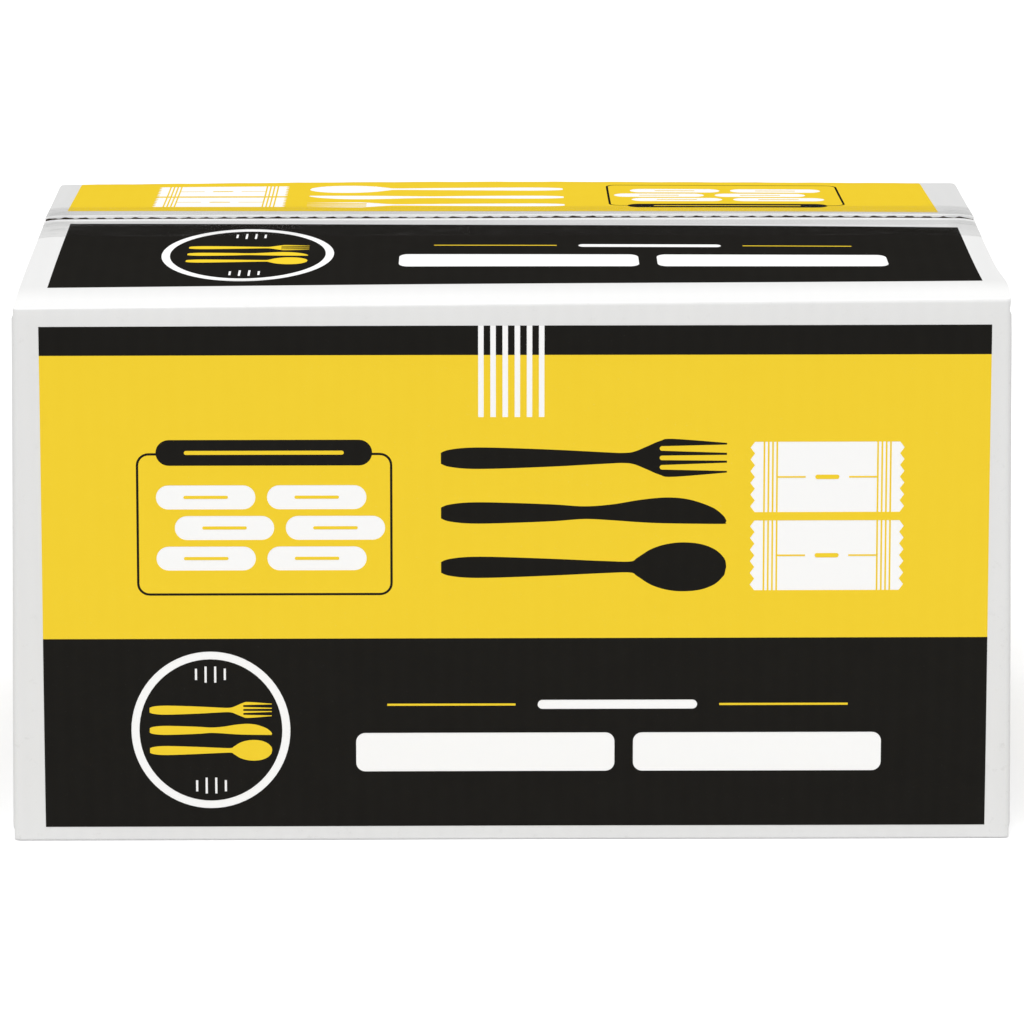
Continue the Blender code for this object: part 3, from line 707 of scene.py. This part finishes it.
CUTLERY_LENGTH = 0.154
HANDLE = [(0, 3.0), (4, 4.6), (14, 5.8), (30, 5.8), (60, 4.7)]
FORK_EDGE = HANDLE + [(88, 3.2), (98, 2.8), (104, 3.5), (111, 6.4), (118, 9.4), (125, 10.5), (154, 8.2)]
SPOON_EDGE = HANDLE + [(88, 3.4), (102, 3.1), (106, 5.2), (113, 9.8), (121, 12.6), (130, 13.7),
                       (140, 12.8), (148, 9.6), (153, 4.6), (154, 0)]
KNIFE_TOP = HANDLE + [(77, 3.6), (92, 4.6), (108, 7.2), (122, 8.4), (134, 7.2), (146, 3.0), (152, -1.5),
                      (154, -4.6)]
KNIFE_FOOT = flipped(HANDLE) + [(77, -3.5), (92, -4.2), (108, -5.4), (122, -6.0), (151, -6.4), (153.4, -5.9)]


def fork_slots():
    """The three gaps between the tines, each with a round root, wider at the open end."""
    loops = []
    root_u, root_radius, open_u = 119, 1.25, 155
    for middle, tip_middle, tip_half in ((-5.2, -5.0, 2.3), (0.0, 0.0, 1.6), (5.2, 5.0, 2.3)):
        root = arc((root_u, middle), root_radius, 90, 270, FINE_STEPS)
        loop = root + [(open_u, tip_middle - tip_half), (open_u, tip_middle + tip_half)]
        loops.append([(u / 1000, v / 1000) for u, v in loop])
    return loops


def shift(loop, u, v, size):
    return [(u + a * size, v + b * size) for a, b in loop]


def cutlery(u, v, step, size, ink, ground):
    """A fork, a knife and a spoon, one under the other, handles to the left."""
    shapes = [(shift(silhouette(FORK_EDGE, flipped(FORK_EDGE)), u, v, size), ink)]
    shapes += [(shift(slot, u, v, size), ground) for slot in fork_slots()]
    shapes.append((shift(silhouette(KNIFE_TOP, KNIFE_FOOT), u, v - step, size), ink))
    spoon = silhouette(SPOON_EDGE, flipped(SPOON_EDGE[:-1]))
    return shapes + [(shift(spoon, u, v - 2 * step, size), ink)]


def saw_edge(u, v0, v1, depth, teeth):
    pitch = (v1 - v0) / teeth
    points = []
    for i in range(teeth):
        points += [(u, v0 + (i + 0.5) * pitch), (u + depth, v0 + (i + 1) * pitch)]
    return points[:-1]


def sachet(u, v, ink):
    """A small pillow packet with crimped, saw-cut ends and a short plain bar in the middle."""
    width, height, tooth, teeth = 0.083, 0.039, 0.0024, 6
    right = [(2 * u + width - a, b) for a, b in saw_edge(u, v, v + height, tooth, teeth)]
    left = list(reversed(saw_edge(u, v, v + height, tooth, teeth)))
    loop = [(u + tooth, v), (u + width - tooth, v)] + right + [(u + width - tooth, v + height)]
    shapes = [(loop + [(u + tooth, v + height)] + left, BARE)]
    crimp, crimps, pitch, line, reach = 0.0070, 4, 0.0023, 0.0009, 0.015
    middle = v + height / 2
    for i in range(crimps):
        at = u + crimp + i * pitch
        shapes.append((rectangle(at, v, at + line, v + height), ink))
        shapes.append((rectangle(2 * u + width - at - line, v, 2 * u + width - at, v + height), ink))
    start = u + crimp + (crimps - 1) * pitch + line
    stop = 2 * u + width - start
    shapes.append((rectangle(start, middle - line / 2, start + reach, middle + line / 2), ink))
    shapes.append((rectangle(stop - reach, middle - line / 2, stop, middle + line / 2), ink))
    return shapes + [(pill(u + width / 2, middle, width=0.013, height=0.0024), ink)]


def list_frame(ground):
    """A thin rounded frame with a dark heading pill and six white pills in staggered rows."""
    line, u0, v0, u1, v1, radius = 0.0013, 0.0512, 0.1313, 0.1892, 0.2105, 0.0068
    inner_frame = rounded(u0 + line, v0 + line, u1 - line, v1 - line, radius - line)
    shapes = [(rounded(u0, v0, u1, v1, radius), BLACK), (inner_frame, ground)]
    heading_u, heading_v = 0.1201, 0.2106
    shapes.append((pill(heading_u, heading_v, width=0.1165, height=0.0142), BLACK))
    shapes.append((pill(heading_u, heading_v, width=0.086, height=0.0022), YELLOW))
    columns, top_row, row_pitch = (0.0886, 0.1484), 0.186, 0.017
    for row, indent in enumerate((0.0, 0.010, 0.0)):
        for column in columns:
            u, v = column + indent, top_row - row * row_pitch
            shapes.append((pill(u, v, width=0.0536, height=0.0134), BARE))
            shapes.append((pill(u, v, width=0.024, height=0.0017), YELLOW))
    return shapes


STROKE = 0.0012
LONG_STROKE, SHORT_STROKE = (0.0270, 0.0362), (0.0285, 0.0350)
STROKES = [(-0.0078, SHORT_STROKE), (-0.0026, LONG_STROKE), (0.0026, LONG_STROKE), (0.0078, SHORT_STROKE)]
SMALL_SET = 0.43
SMALL_SET_STEP = 0.0115


def roundel(u, v, half_width, half_height, line):
    """A white ring with short strokes above and below a small set of cutlery."""
    shapes = [(oval(u, v, half_width, half_height), BARE),
              (oval(u, v, half_width - line, half_height - line), BLACK)]
    for offset, (start, stop) in STROKES:
        for sign in (-1, 1):
            v0, v1 = sorted((v + sign * start, v + sign * stop))
            shapes.append((rectangle(u + offset - STROKE / 2, v0, u + offset + STROKE / 2, v1), BARE))
    left = u - CUTLERY_LENGTH / 2 * SMALL_SET
    return shapes + cutlery(left, v + SMALL_SET_STEP, SMALL_SET_STEP, SMALL_SET, YELLOW, BLACK)


def rules_and_bars(u0, v, width, rules):
    """Two thin rules with a light bar between them, over two heavy bars."""
    half_line, gap, light, heavy, low, space, corner = 0.0006, 0.012, 0.0052, 0.022, 0.016, 0.010, 0.005
    first_share = 0.51
    shapes = [(rectangle(a, v - half_line, b, v + half_line), YELLOW) for a, b in rules]
    start, stop = rules[0][1] + gap, rules[1][0] - gap
    shapes.append((pill((start + stop) / 2, v, stop - start, light), BARE))
    first = (width - space) * first_share
    foot = v - low - heavy
    for start, stop in ((u0, u0 + first), (u0 + first + space, u0 + width)):
        shapes.append((rounded(start, foot, stop, foot + heavy, corner), BARE))
    return shapes


def picture_row(ground, ink):
    """The frame, the cutlery and two packets, side by side."""
    shapes = list_frame(ground)
    shapes += cutlery(u=0.2153, v=0.2074, step=0.0303, size=1.0, ink=ink, ground=ground)
    return shapes + sachet(u=0.382, v=0.1772, ink=ground) + sachet(u=0.382, v=0.1336, ink=ground)


def fit(shapes, width, height, corners, turned=False):
    """Scales artwork of a drawn size into four corners, lower left first, turned half round if asked."""
    def place(u, v):
        s, t = u / width, v / height
        if turned:
            s, t = 1 - s, 1 - t
        shares = ((1 - s) * (1 - t), s * (1 - t), s * t, (1 - s) * t)
        return tuple(sum(w * corner[k] for w, corner in zip(shares, corners)) for k in (0, 1))

    return [([place(u, v) for u, v in loop], ink) for loop, ink in shapes]


def finer(loop, pitch):
    """The same loop with its long edges split, so that the ink can follow the board."""
    found = []
    for (a, b), (c, d) in zip(loop, loop[1:] + loop[:1]):
        count = max(1, math.ceil(math.hypot(c - a, d - b) / pitch))
        found += [(a + (c - a) * i / count, b + (d - b) * i / count) for i in range(count)]
    return found


def ink_at(point, boxed):
    """The ink of the last shape drawn over a point."""
    u, v = point
    for (u0, v0, u1, v1), loop, ink in boxed:
        if u0 <= u <= u1 and v0 <= v <= v1 and inside(point, loop):
            return ink
    return BARE


def ink_mesh(corners, triangles, lift):
    """A thin closed layer over some of a panel's triangles."""
    bm = bmesh.new()
    used = sorted({i for t in triangles for i in t})
    lower, upper = [{i: bm.verts.new(settle(lift(*corners[i], height))) for i in used}
                    for height in (INK_BASE, INK_TOP)]
    for t in triangles:
        bm.faces.new([upper[i] for i in t])
        bm.faces.new([lower[i] for i in reversed(t)])
    sides = dict.fromkeys(side for t in triangles for side in zip(t, (*t[1:], t[0])))
    for a, b in sides:
        if (b, a) not in sides:
            bm.faces.new((lower[a], lower[b], upper[b], upper[a]))
    bmesh.ops.recalc_face_normals(bm, faces=bm.faces)
    mesh = bpy.data.meshes.new("ink")
    bm.to_mesh(mesh)
    bm.free()
    return mesh


def print_panel(panel, shapes, lift):
    """One thin piece for each ink on a panel; lift(u, v, height) puts a point over the board there."""
    points, edges = [], []
    shapes = [(finer(loop, INK_GRID), ink) for loop, ink in shapes]
    for loop, ink in shapes:
        edges += loop_edges(loop, len(points))
        points += [Vector(p) for p in loop]
    us, vs = [p.x for p in points], [p.y for p in points]
    points += grid_points(min(us), min(vs), max(us), max(vs), INK_GRID)
    boxed = []
    for loop, ink in reversed(shapes):
        lu, lv = [p[0] for p in loop], [p[1] for p in loop]
        boxed.append(((min(lu), min(lv), max(lu), max(lv)), loop, ink))
    corners, triangles = triangulated(points, edges)
    groups = {YELLOW: [], BLACK: [], BARE: []}
    for triangle, middle in triangles:
        groups[ink_at(middle, boxed)].append(triangle)
    for ink in (YELLOW, BLACK):
        if not groups[ink]:
            continue
        piece = new_object(f"{panel}_{ink}", ink_mesh(corners, groups[ink], lift))
        piece.data.materials.append(inks[ink])
        shade(piece)
        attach(piece, "root")
        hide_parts("carton")


def ink_finish(name, deep, light, worn):
    """Flat ink on fibrous board: faint flute banding, uneven lay and pinholes where fibres stayed bare.
    On the far flap it is darkened a little with painted shade.
    """
    made = Finish(name, {"Specular IOR Level": 0.0})
    fibre = made.noise(1500.0, 4.0, 0.6)
    lay = made.noise(45.0, 5.0, 0.65)
    ribs = made.washboard()
    pinhole = made.ramp(made.noise(1100.0, 2.0, 0.5), (0.70, 0.0), (0.76, 1.0)) * 0.35
    tone = made.mix(lay * 0.6 + fibre * 0.30 + ribs * 0.10, deep, light)
    # Painted shade: ink on the far flap, which faces away from the light, is darkened a little.
    far_flap_ink_painted_shade = (made.parts(made.facing)[2] > 0.8) * (made.parts(made.place)[1] > 0.0)
    tone = made.mix(far_flap_ink_painted_shade * 0.07, tone, (0.0, 0.0, 0.0))
    made.set(Base_Color=made.mix(pinhole, tone, worn), Roughness=0.52 + fibre * 0.2)
    made.relief(fibre * 0.25 + ribs * 0.35, 0.0003, 0.25)
    return made.material


inks = {YELLOW: ink_finish(YELLOW, deep=(0.915, 0.640, 0.033), light=(0.945, 0.678, 0.041),
                           worn=(0.95, 0.78, 0.25)),
        BLACK: ink_finish(BLACK, deep=(0.0120, 0.0112, 0.0100), light=(0.0180, 0.0170, 0.0150),
                          worn=(0.045, 0.043, 0.040))}

# The front: bands, stripes, the row of pictures, a ring and bars. The back is printed alike.

FRONT_MARGIN_LEFT = 0.0142
FRONT_MARGIN_RIGHT = 0.0105
FRONT_MARGIN_TOP = 0.012
FRONT_MARGIN_FOOT = 0.008
FRONT_SPREAD = 0.0033
front_left, front_right = -HALF_LENGTH + FRONT_MARGIN_LEFT, HALF_LENGTH - FRONT_MARGIN_RIGHT
front_top = HEIGHT - FRONT_MARGIN_TOP
front_corners = [(front_left - FRONT_SPREAD, FRONT_MARGIN_FOOT),
                 (front_right + FRONT_SPREAD, FRONT_MARGIN_FOOT),
                 (front_right, front_top), (front_left, front_top)]
front_art = [(rectangle(0.0, 0.0, ART_WIDTH, ART_HEIGHT), BLACK),
             (rectangle(0.0, BASE_HEIGHT, ART_WIDTH, ART_HEIGHT - BAND_HEIGHT), YELLOW)]
STRIPES, STRIPE, STRIPE_PITCH, STRIPE_LENGTH, STRIPE_START = 6, 0.0030, 0.00652, 0.050, 0.2354
for i in range(STRIPES):
    u = STRIPE_START + i * STRIPE_PITCH
    front_art.append((rectangle(u, ART_HEIGHT - STRIPE_LENGTH, u + STRIPE, ART_HEIGHT), BARE))
front_art += picture_row(YELLOW, BLACK)
front_art += roundel(u=0.0903, v=0.0552, half_width=0.0431, half_height=0.0446, line=0.0044)
front_art += rules_and_bars(u0=0.169, v=0.0694, width=0.285, rules=((0.186, 0.2555), (0.366, 0.4357)))
front_art = fit(front_art, ART_WIDTH, ART_HEIGHT, front_corners)
print_panel("front", front_art, lambda x, z, height: (x, -HALF_DEPTH - height, z))
back_art = [([(-u, v) for u, v in loop], ink) for loop, ink in front_art]
print_panel("back", back_art, lambda x, z, height: (x, HALF_DEPTH + height, z))

# The near lid flap: a ring and bars on black.

NEAR_WIDTH, NEAR_HEIGHT = 0.499, 0.106
NEAR_MARGIN_LEFT = 0.0199
NEAR_MARGIN_RIGHT = 0.0161
NEAR_FROM_FOLD = 0.0318
NEAR_FROM_SEAM = 0.0142
NEAR_TAPER = 0.0048
NEAR_FOOT_TAPER = 0.0004
NEAR_SPREAD = 0.0032
near_left, near_right = -HALF_LENGTH + NEAR_MARGIN_LEFT, HALF_LENGTH - NEAR_MARGIN_RIGHT
near_low, near_high = -HALF_DEPTH + NEAR_FROM_FOLD, -NEAR_FROM_SEAM
near_corners = [(near_left - NEAR_SPREAD, near_low - NEAR_FOOT_TAPER),
                (near_right + NEAR_SPREAD, near_low + NEAR_FOOT_TAPER),
                (near_right, near_high - NEAR_TAPER), (near_left, near_high + NEAR_TAPER)]
near_art = [(rectangle(0.0, 0.0, NEAR_WIDTH, NEAR_HEIGHT), BLACK)]
near_art += roundel(u=0.1036, v=0.052, half_width=0.0472, half_height=0.0448, line=0.0046)
near_art += rules_and_bars(u0=0.1866, v=0.068, width=0.266, rules=((0.2053, 0.273), (0.3756, 0.4356)))
print_panel("near_flap", fit(near_art, NEAR_WIDTH, NEAR_HEIGHT, near_corners),
            lambda x, y, height: (x, y, lid_z(x, y) + height))

# The far lid flap: the row of pictures on yellow, turned to be read from the back.

FAR_WIDTH, FAR_HEIGHT = 0.514, 0.118
FAR_ROW_LOW = 0.1148
FAR_ROW_OVER = 0.0047
FAR_ROW_STRETCH_LEFT = 0.15
FAR_ROW_STRETCH_RIGHT = 0.054
FAR_ROW_MIDDLE = 0.298
FAR_MARGIN_LEFT = 0.0156
FAR_MARGIN_RIGHT = 0.0240
FAR_FROM_FOLD = 0.0055
FAR_FROM_SEAM = 0.0170
FAR_SLANT = 0.0058
FAR_SPREAD = 0.0022
far_left, far_right = -HALF_LENGTH + FAR_MARGIN_LEFT, HALF_LENGTH - FAR_MARGIN_RIGHT
far_high = HALF_DEPTH - FAR_FROM_FOLD
far_corners = [(far_left, FAR_FROM_SEAM + FAR_SLANT), (far_right, FAR_FROM_SEAM - FAR_SLANT),
               (far_right + FAR_SPREAD, far_high), (far_left - FAR_SPREAD, far_high)]


def stretched(loop):
    """A picture of the row, let out a little towards one end, as the far flap's print is."""
    found = []
    for u, v in loop:
        share = FAR_ROW_STRETCH_LEFT if u > FAR_ROW_MIDDLE else FAR_ROW_STRETCH_RIGHT
        found.append((u + FAR_ROW_OVER - share * (u - FAR_ROW_MIDDLE) ** 2, v - FAR_ROW_LOW))
    return found


far_art = [(rectangle(0.0, 0.0, FAR_WIDTH, FAR_HEIGHT), YELLOW)]
far_art += [(stretched(loop), ink) for loop, ink in picture_row(YELLOW, BARE)]
print_panel("far_flap", fit(far_art, FAR_WIDTH, FAR_HEIGHT, far_corners, turned=True),
            lambda x, y, height: (x, y, lid_z(x, y) + height))

# The end panels: the front's bands alone.

END_MARGIN_SIDE = 0.014
END_MARGIN_FOOT = 0.014
END_TOP = HEIGHT - FRONT_MARGIN_TOP
reach = HALF_DEPTH - END_MARGIN_SIDE
for side, hand in ((1, "right"), (-1, "left")):
    end_art = [(rectangle(-reach, END_MARGIN_FOOT, reach, END_TOP), BLACK),
               (rectangle(-reach, END_MARGIN_FOOT + BASE_HEIGHT, reach, END_TOP - BAND_HEIGHT), YELLOW)]
    print_panel(f"{hand}_end", end_art, lambda y, z, height: (side * (end_x(z) + height), y, z))

# The packing tape: clear film with a glossy back, pressed along each seam by hand from a dispenser, down
# both ends, and torn off on the dispenser's saw teeth. It bridges the step at the seam and wrinkles there.

TAPE_WIDTH = 0.072
TAPE_OFFSET = 0.002
TAPE_TAIL = 0.055
TAPE_GAP = 0.00016
TAPE_FILM = 0.00006
TAPE_BEVEL = 0.00018
TAPE_STEP = 0.0012
TAIL_STEPS = 16
BEND_STEPS = 6
STEP_REACH = 0.004
TOOTH_PITCH = 0.0036
TOOTH_DEPTH = 0.0012
WRINKLE = 0.00025
RIDGE_AT, RIDGE_REACH = -0.001, 0.004
SLACK_AT, SLACK_REACH = 0.243, 0.014


def fold_turn(centre, radius, up, point):
    """Angle at which a tight strip leaves a short flap's fold for a point beyond it."""
    along, rising = point[0] - centre[0], up * (point[1] - centre[1])
    return math.atan2(rising, along) - math.acos(radius / math.hypot(along, rising))


def tape_path(y, top, gap):
    """The tape's line from the tail on the right end to the middle, as (x, z), at a height over the board."""
    level = HEIGHT - BOARD - FOLD_RADIUS if top else BOARD + FOLD_RADIUS
    up = 1 if top else -1
    tail = HEIGHT - TAPE_TAIL if top else TAPE_TAIL
    tooth = abs((y / TOOTH_PITCH) % 1.0 - 0.5) * 2
    tail -= up * TOOTH_DEPTH * tooth
    centre = (end_x(level) - FOLD_RADIUS, level)

    def face(x):
        if not top:
            return foot_z(y) - gap
        if -STEP_REACH < y < SLIT:
            share = (y + STEP_REACH) / (STEP_REACH + SLIT)
            return lid_z(x, -STEP_REACH) * (1 - share) + lid_z(x, SLIT) * share + gap
        return lid_z(x, y) + gap

    end = flap_end(y, HEIGHT - BOARD if top else BOARD) + gap
    edge = (end, face(end) - up * TAPE_BEVEL)
    turn = fold_turn(centre, FOLD_RADIUS + gap, up, edge)
    bend = arc(centre, FOLD_RADIUS + gap, 0, math.degrees(turn), BEND_STEPS)
    bend = [(x, centre[1] + up * (z - centre[1])) for x, z in bend]
    heights = [tail + (level - tail) * i / TAIL_STEPS for i in range(TAIL_STEPS)]
    upright = [(end_x(z) + gap, z) for z in heights]
    rise_to_edge = [(bend[-1][0] + (edge[0] - bend[-1][0]) * t, bend[-1][1] + (edge[1] - bend[-1][1]) * t)
                    for t in (0.33, 0.67)]
    limit = HALF_LENGTH - CUTBACK_AT_SEAM - FLUTE_REACH
    across = [x for x in reversed(stations) if 0 <= x < limit]
    over = [edge, (end - TAPE_BEVEL, face(end))] + [(x, face(x)) for x in across]
    return upright + bend + rise_to_edge + over


def wrinkle(x, y, z, top):
    """Small ridges where the film bridges the seam's step and where it was laid a little slack."""
    if not top or z < HEIGHT:
        return 0.0
    ridge = math.exp(-((y - RIDGE_AT) / RIDGE_REACH) ** 2)
    ridge *= 0.5 + 0.5 * math.sin(x / 0.0033) * math.sin(x / 0.0149 + 1)
    slack = math.exp(-((abs(x) - SLACK_AT) / SLACK_REACH) ** 2)
    slack *= 0.5 + 0.5 * math.sin(y / 0.0021 + x / 0.009)
    return WRINKLE * (0.6 * ridge + slack)


def tape_mesh(top):
    """One closed strip of film, from its torn end on one end panel to the other."""
    near, far = TAPE_OFFSET - TAPE_WIDTH / 2, TAPE_OFFSET + TAPE_WIDTH / 2
    rows = steps(near, far, TAPE_STEP) + [far]
    layers = []
    for gap in (TAPE_GAP, TAPE_GAP + TAPE_FILM):
        layer = []
        for y in rows:
            half = tape_path(y, top, gap)
            line = half + [(-x, z) for x, z in reversed(half[:-1])]
            layer.append([settle((x, y, z + wrinkle(x, y, z, top))) for x, z in line])
        layers.append(layer)
    bm = bmesh.new()
    lower, upper = layers
    join_rings(bm, [low_line + list(reversed(high_line)) for low_line, high_line in zip(lower, upper)])
    for low_line, high_line in ((lower[0], upper[0]), (lower[-1], upper[-1])):
        join_rings(bm, [low_line, high_line], closed=False)
    return new_mesh(bm, "tape")


FILM_DARK, FILM_PALE = (0.02, 0.02, 0.02), (0.55, 0.55, 0.54)
STRIP_REACH = 0.04


def tape_finish():
    """Clear film: almost unseen on ink, greyish over bare board, with painted highlights: pale along creases
    and over trapped air.
    """
    made = Finish("clear_tape", {"Specular IOR Level": 0.08})
    x, y, z = made.parts(made.place)
    air_and_glint = made.ramp(made.noise(70.0, 5.0, 0.6, (0.6, 1.6, 1.0)), (0.60, 0.0), (0.66, 1.0))
    crease_and_glint = made.ramp(made.noise(38.0, 2.0, 0.4, (0.25, 2.6, 1.0)),
                       (0.485, 0.0), (0.50, 1.0), (0.515, 0.0))
    beyond_print = made.ramp(x.math("ABSOLUTE") / HALF_LENGTH, (0.915, 0.0), (0.935, 1.0))
    from_middle = (y - TAPE_OFFSET).math("ABSOLUTE") / (TAPE_WIDTH / 2)
    from_edge = made.ramp(from_middle, (0.55, 1.0), (1.0, 0.1))
    rim = made.ramp(from_middle, (0.955, 0.0), (0.985, 1.0))
    strip = made.ramp((y + STRIP_REACH) / (2 * STRIP_REACH), (0.31, 0.15), (0.33, 1.0), (0.44, 1.0),
                      (0.465, 0.1), (0.515, 0.1), (0.54, 1.0), (0.70, 1.0), (0.74, 0.15))
    lid = made.parts(made.facing)[2] > 0.5
    grey = (strip + beyond_print * (from_edge * 0.7 - strip * 0.4)) * lid
    # Painted highlights: the film is painted pale along its creases and over trapped air; the ridges
    # themselves are bump.
    pale = air_and_glint * 0.25 + crease_and_glint * 0.45 + rim * (1 - lid)
    made.set(Base_Color=made.mix(pale + (1 - lid) * 0.4, FILM_DARK, FILM_PALE),
             Roughness=0.12 + air_and_glint * 0.12,
             Alpha=grey * 0.085 + pale * (0.04 + beyond_print * 0.10) + (1 - lid) * 0.07)
    made.relief(air_and_glint * 0.5 + crease_and_glint, 0.0004, 0.5)
    return made.material


clear_tape = tape_finish()
for name, top in (("top_tape", True), ("bottom_tape", False)):
    tape = new_object(f"{name}_film", tape_mesh(top))
    tape.data.materials.append(clear_tape)
    shade(tape, 50)
    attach(tape, "root")
    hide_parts(name)

# The studio: a plain white floor and surround, one broad soft light from above the front, and even light
# from all round. The camera stands where the photograph was taken, a little left of the middle.

DARK, WHITE = (0.0, 0.0, 0.0), (1.0, 1.0, 1.0)
FLOOR_SIZE = 12.0
FLOOR_DROP = 0.0003
FLOOR_GLOW = 0.34
AROUND = 0.40
KEY_STRENGTH = 2.36
KEY_ANGLE = 50
KEY_DIRECTION = (0.05, 0.45, -0.893)
CAMERA_PLACE = (-0.01875, -2.54874, 0.86524)
CAMERA_TARGET = (0.00116, 0.0, 0.14162)
CAMERA_LENS = 163.8


def seen_directly(nodes):
    """1 for rays from the camera and for mirror or clear rays, which show the white background."""
    path = nodes.add("ShaderNodeLightPath", {}, {})
    direct = path["Is Camera Ray"] + path["Is Glossy Ray"] + path["Is Transmission Ray"]
    return direct.math("MINIMUM", 1.0)


floor_finish = Finish("studio_floor", {"Roughness": 0.9, "Specular IOR Level": 0.0,
                                       "Base Color": (0.8, 0.8, 0.8), "Emission Strength": FLOOR_GLOW})
floor_finish.set(Emission_Color=floor_finish.mix(seen_directly(floor_finish), DARK, WHITE))
bm = bmesh.new()
bmesh.ops.create_grid(bm, x_segments=1, y_segments=1, size=FLOOR_SIZE / 2)
floor = new_object("floor", new_mesh(bm, "floor"))
floor.location.z = -FLOOR_DROP
floor.data.materials.append(floor_finish.material)

world = bpy.data.worlds.new("surround")
bpy.context.scene.world = world
world.use_nodes = True
surround = Nodes(world.node_tree)
shown = surround.mix(seen_directly(surround), (AROUND, AROUND, AROUND), WHITE)
surround.feed(world.node_tree.nodes["Background"].inputs["Color"], shown)

key = bpy.data.objects.new("key", bpy.data.lights.new("key", "SUN"))
key.data.energy = KEY_STRENGTH
key.data.angle = math.radians(KEY_ANGLE)
key.rotation_euler = Vector(KEY_DIRECTION).to_track_quat("-Z", "Y").to_euler()
bpy.context.scene.collection.objects.link(key)

camera = bpy.data.objects.new("camera", bpy.data.cameras.new("camera"))
camera.data.lens = CAMERA_LENS
camera.location = CAMERA_PLACE
camera.rotation_euler = (Vector(CAMERA_TARGET) - camera.location).to_track_quat("-Z", "Y").to_euler()
bpy.context.scene.collection.objects.link(camera)
bpy.context.scene.camera = camera
bpy.context.scene.view_settings.view_transform = "Standard"
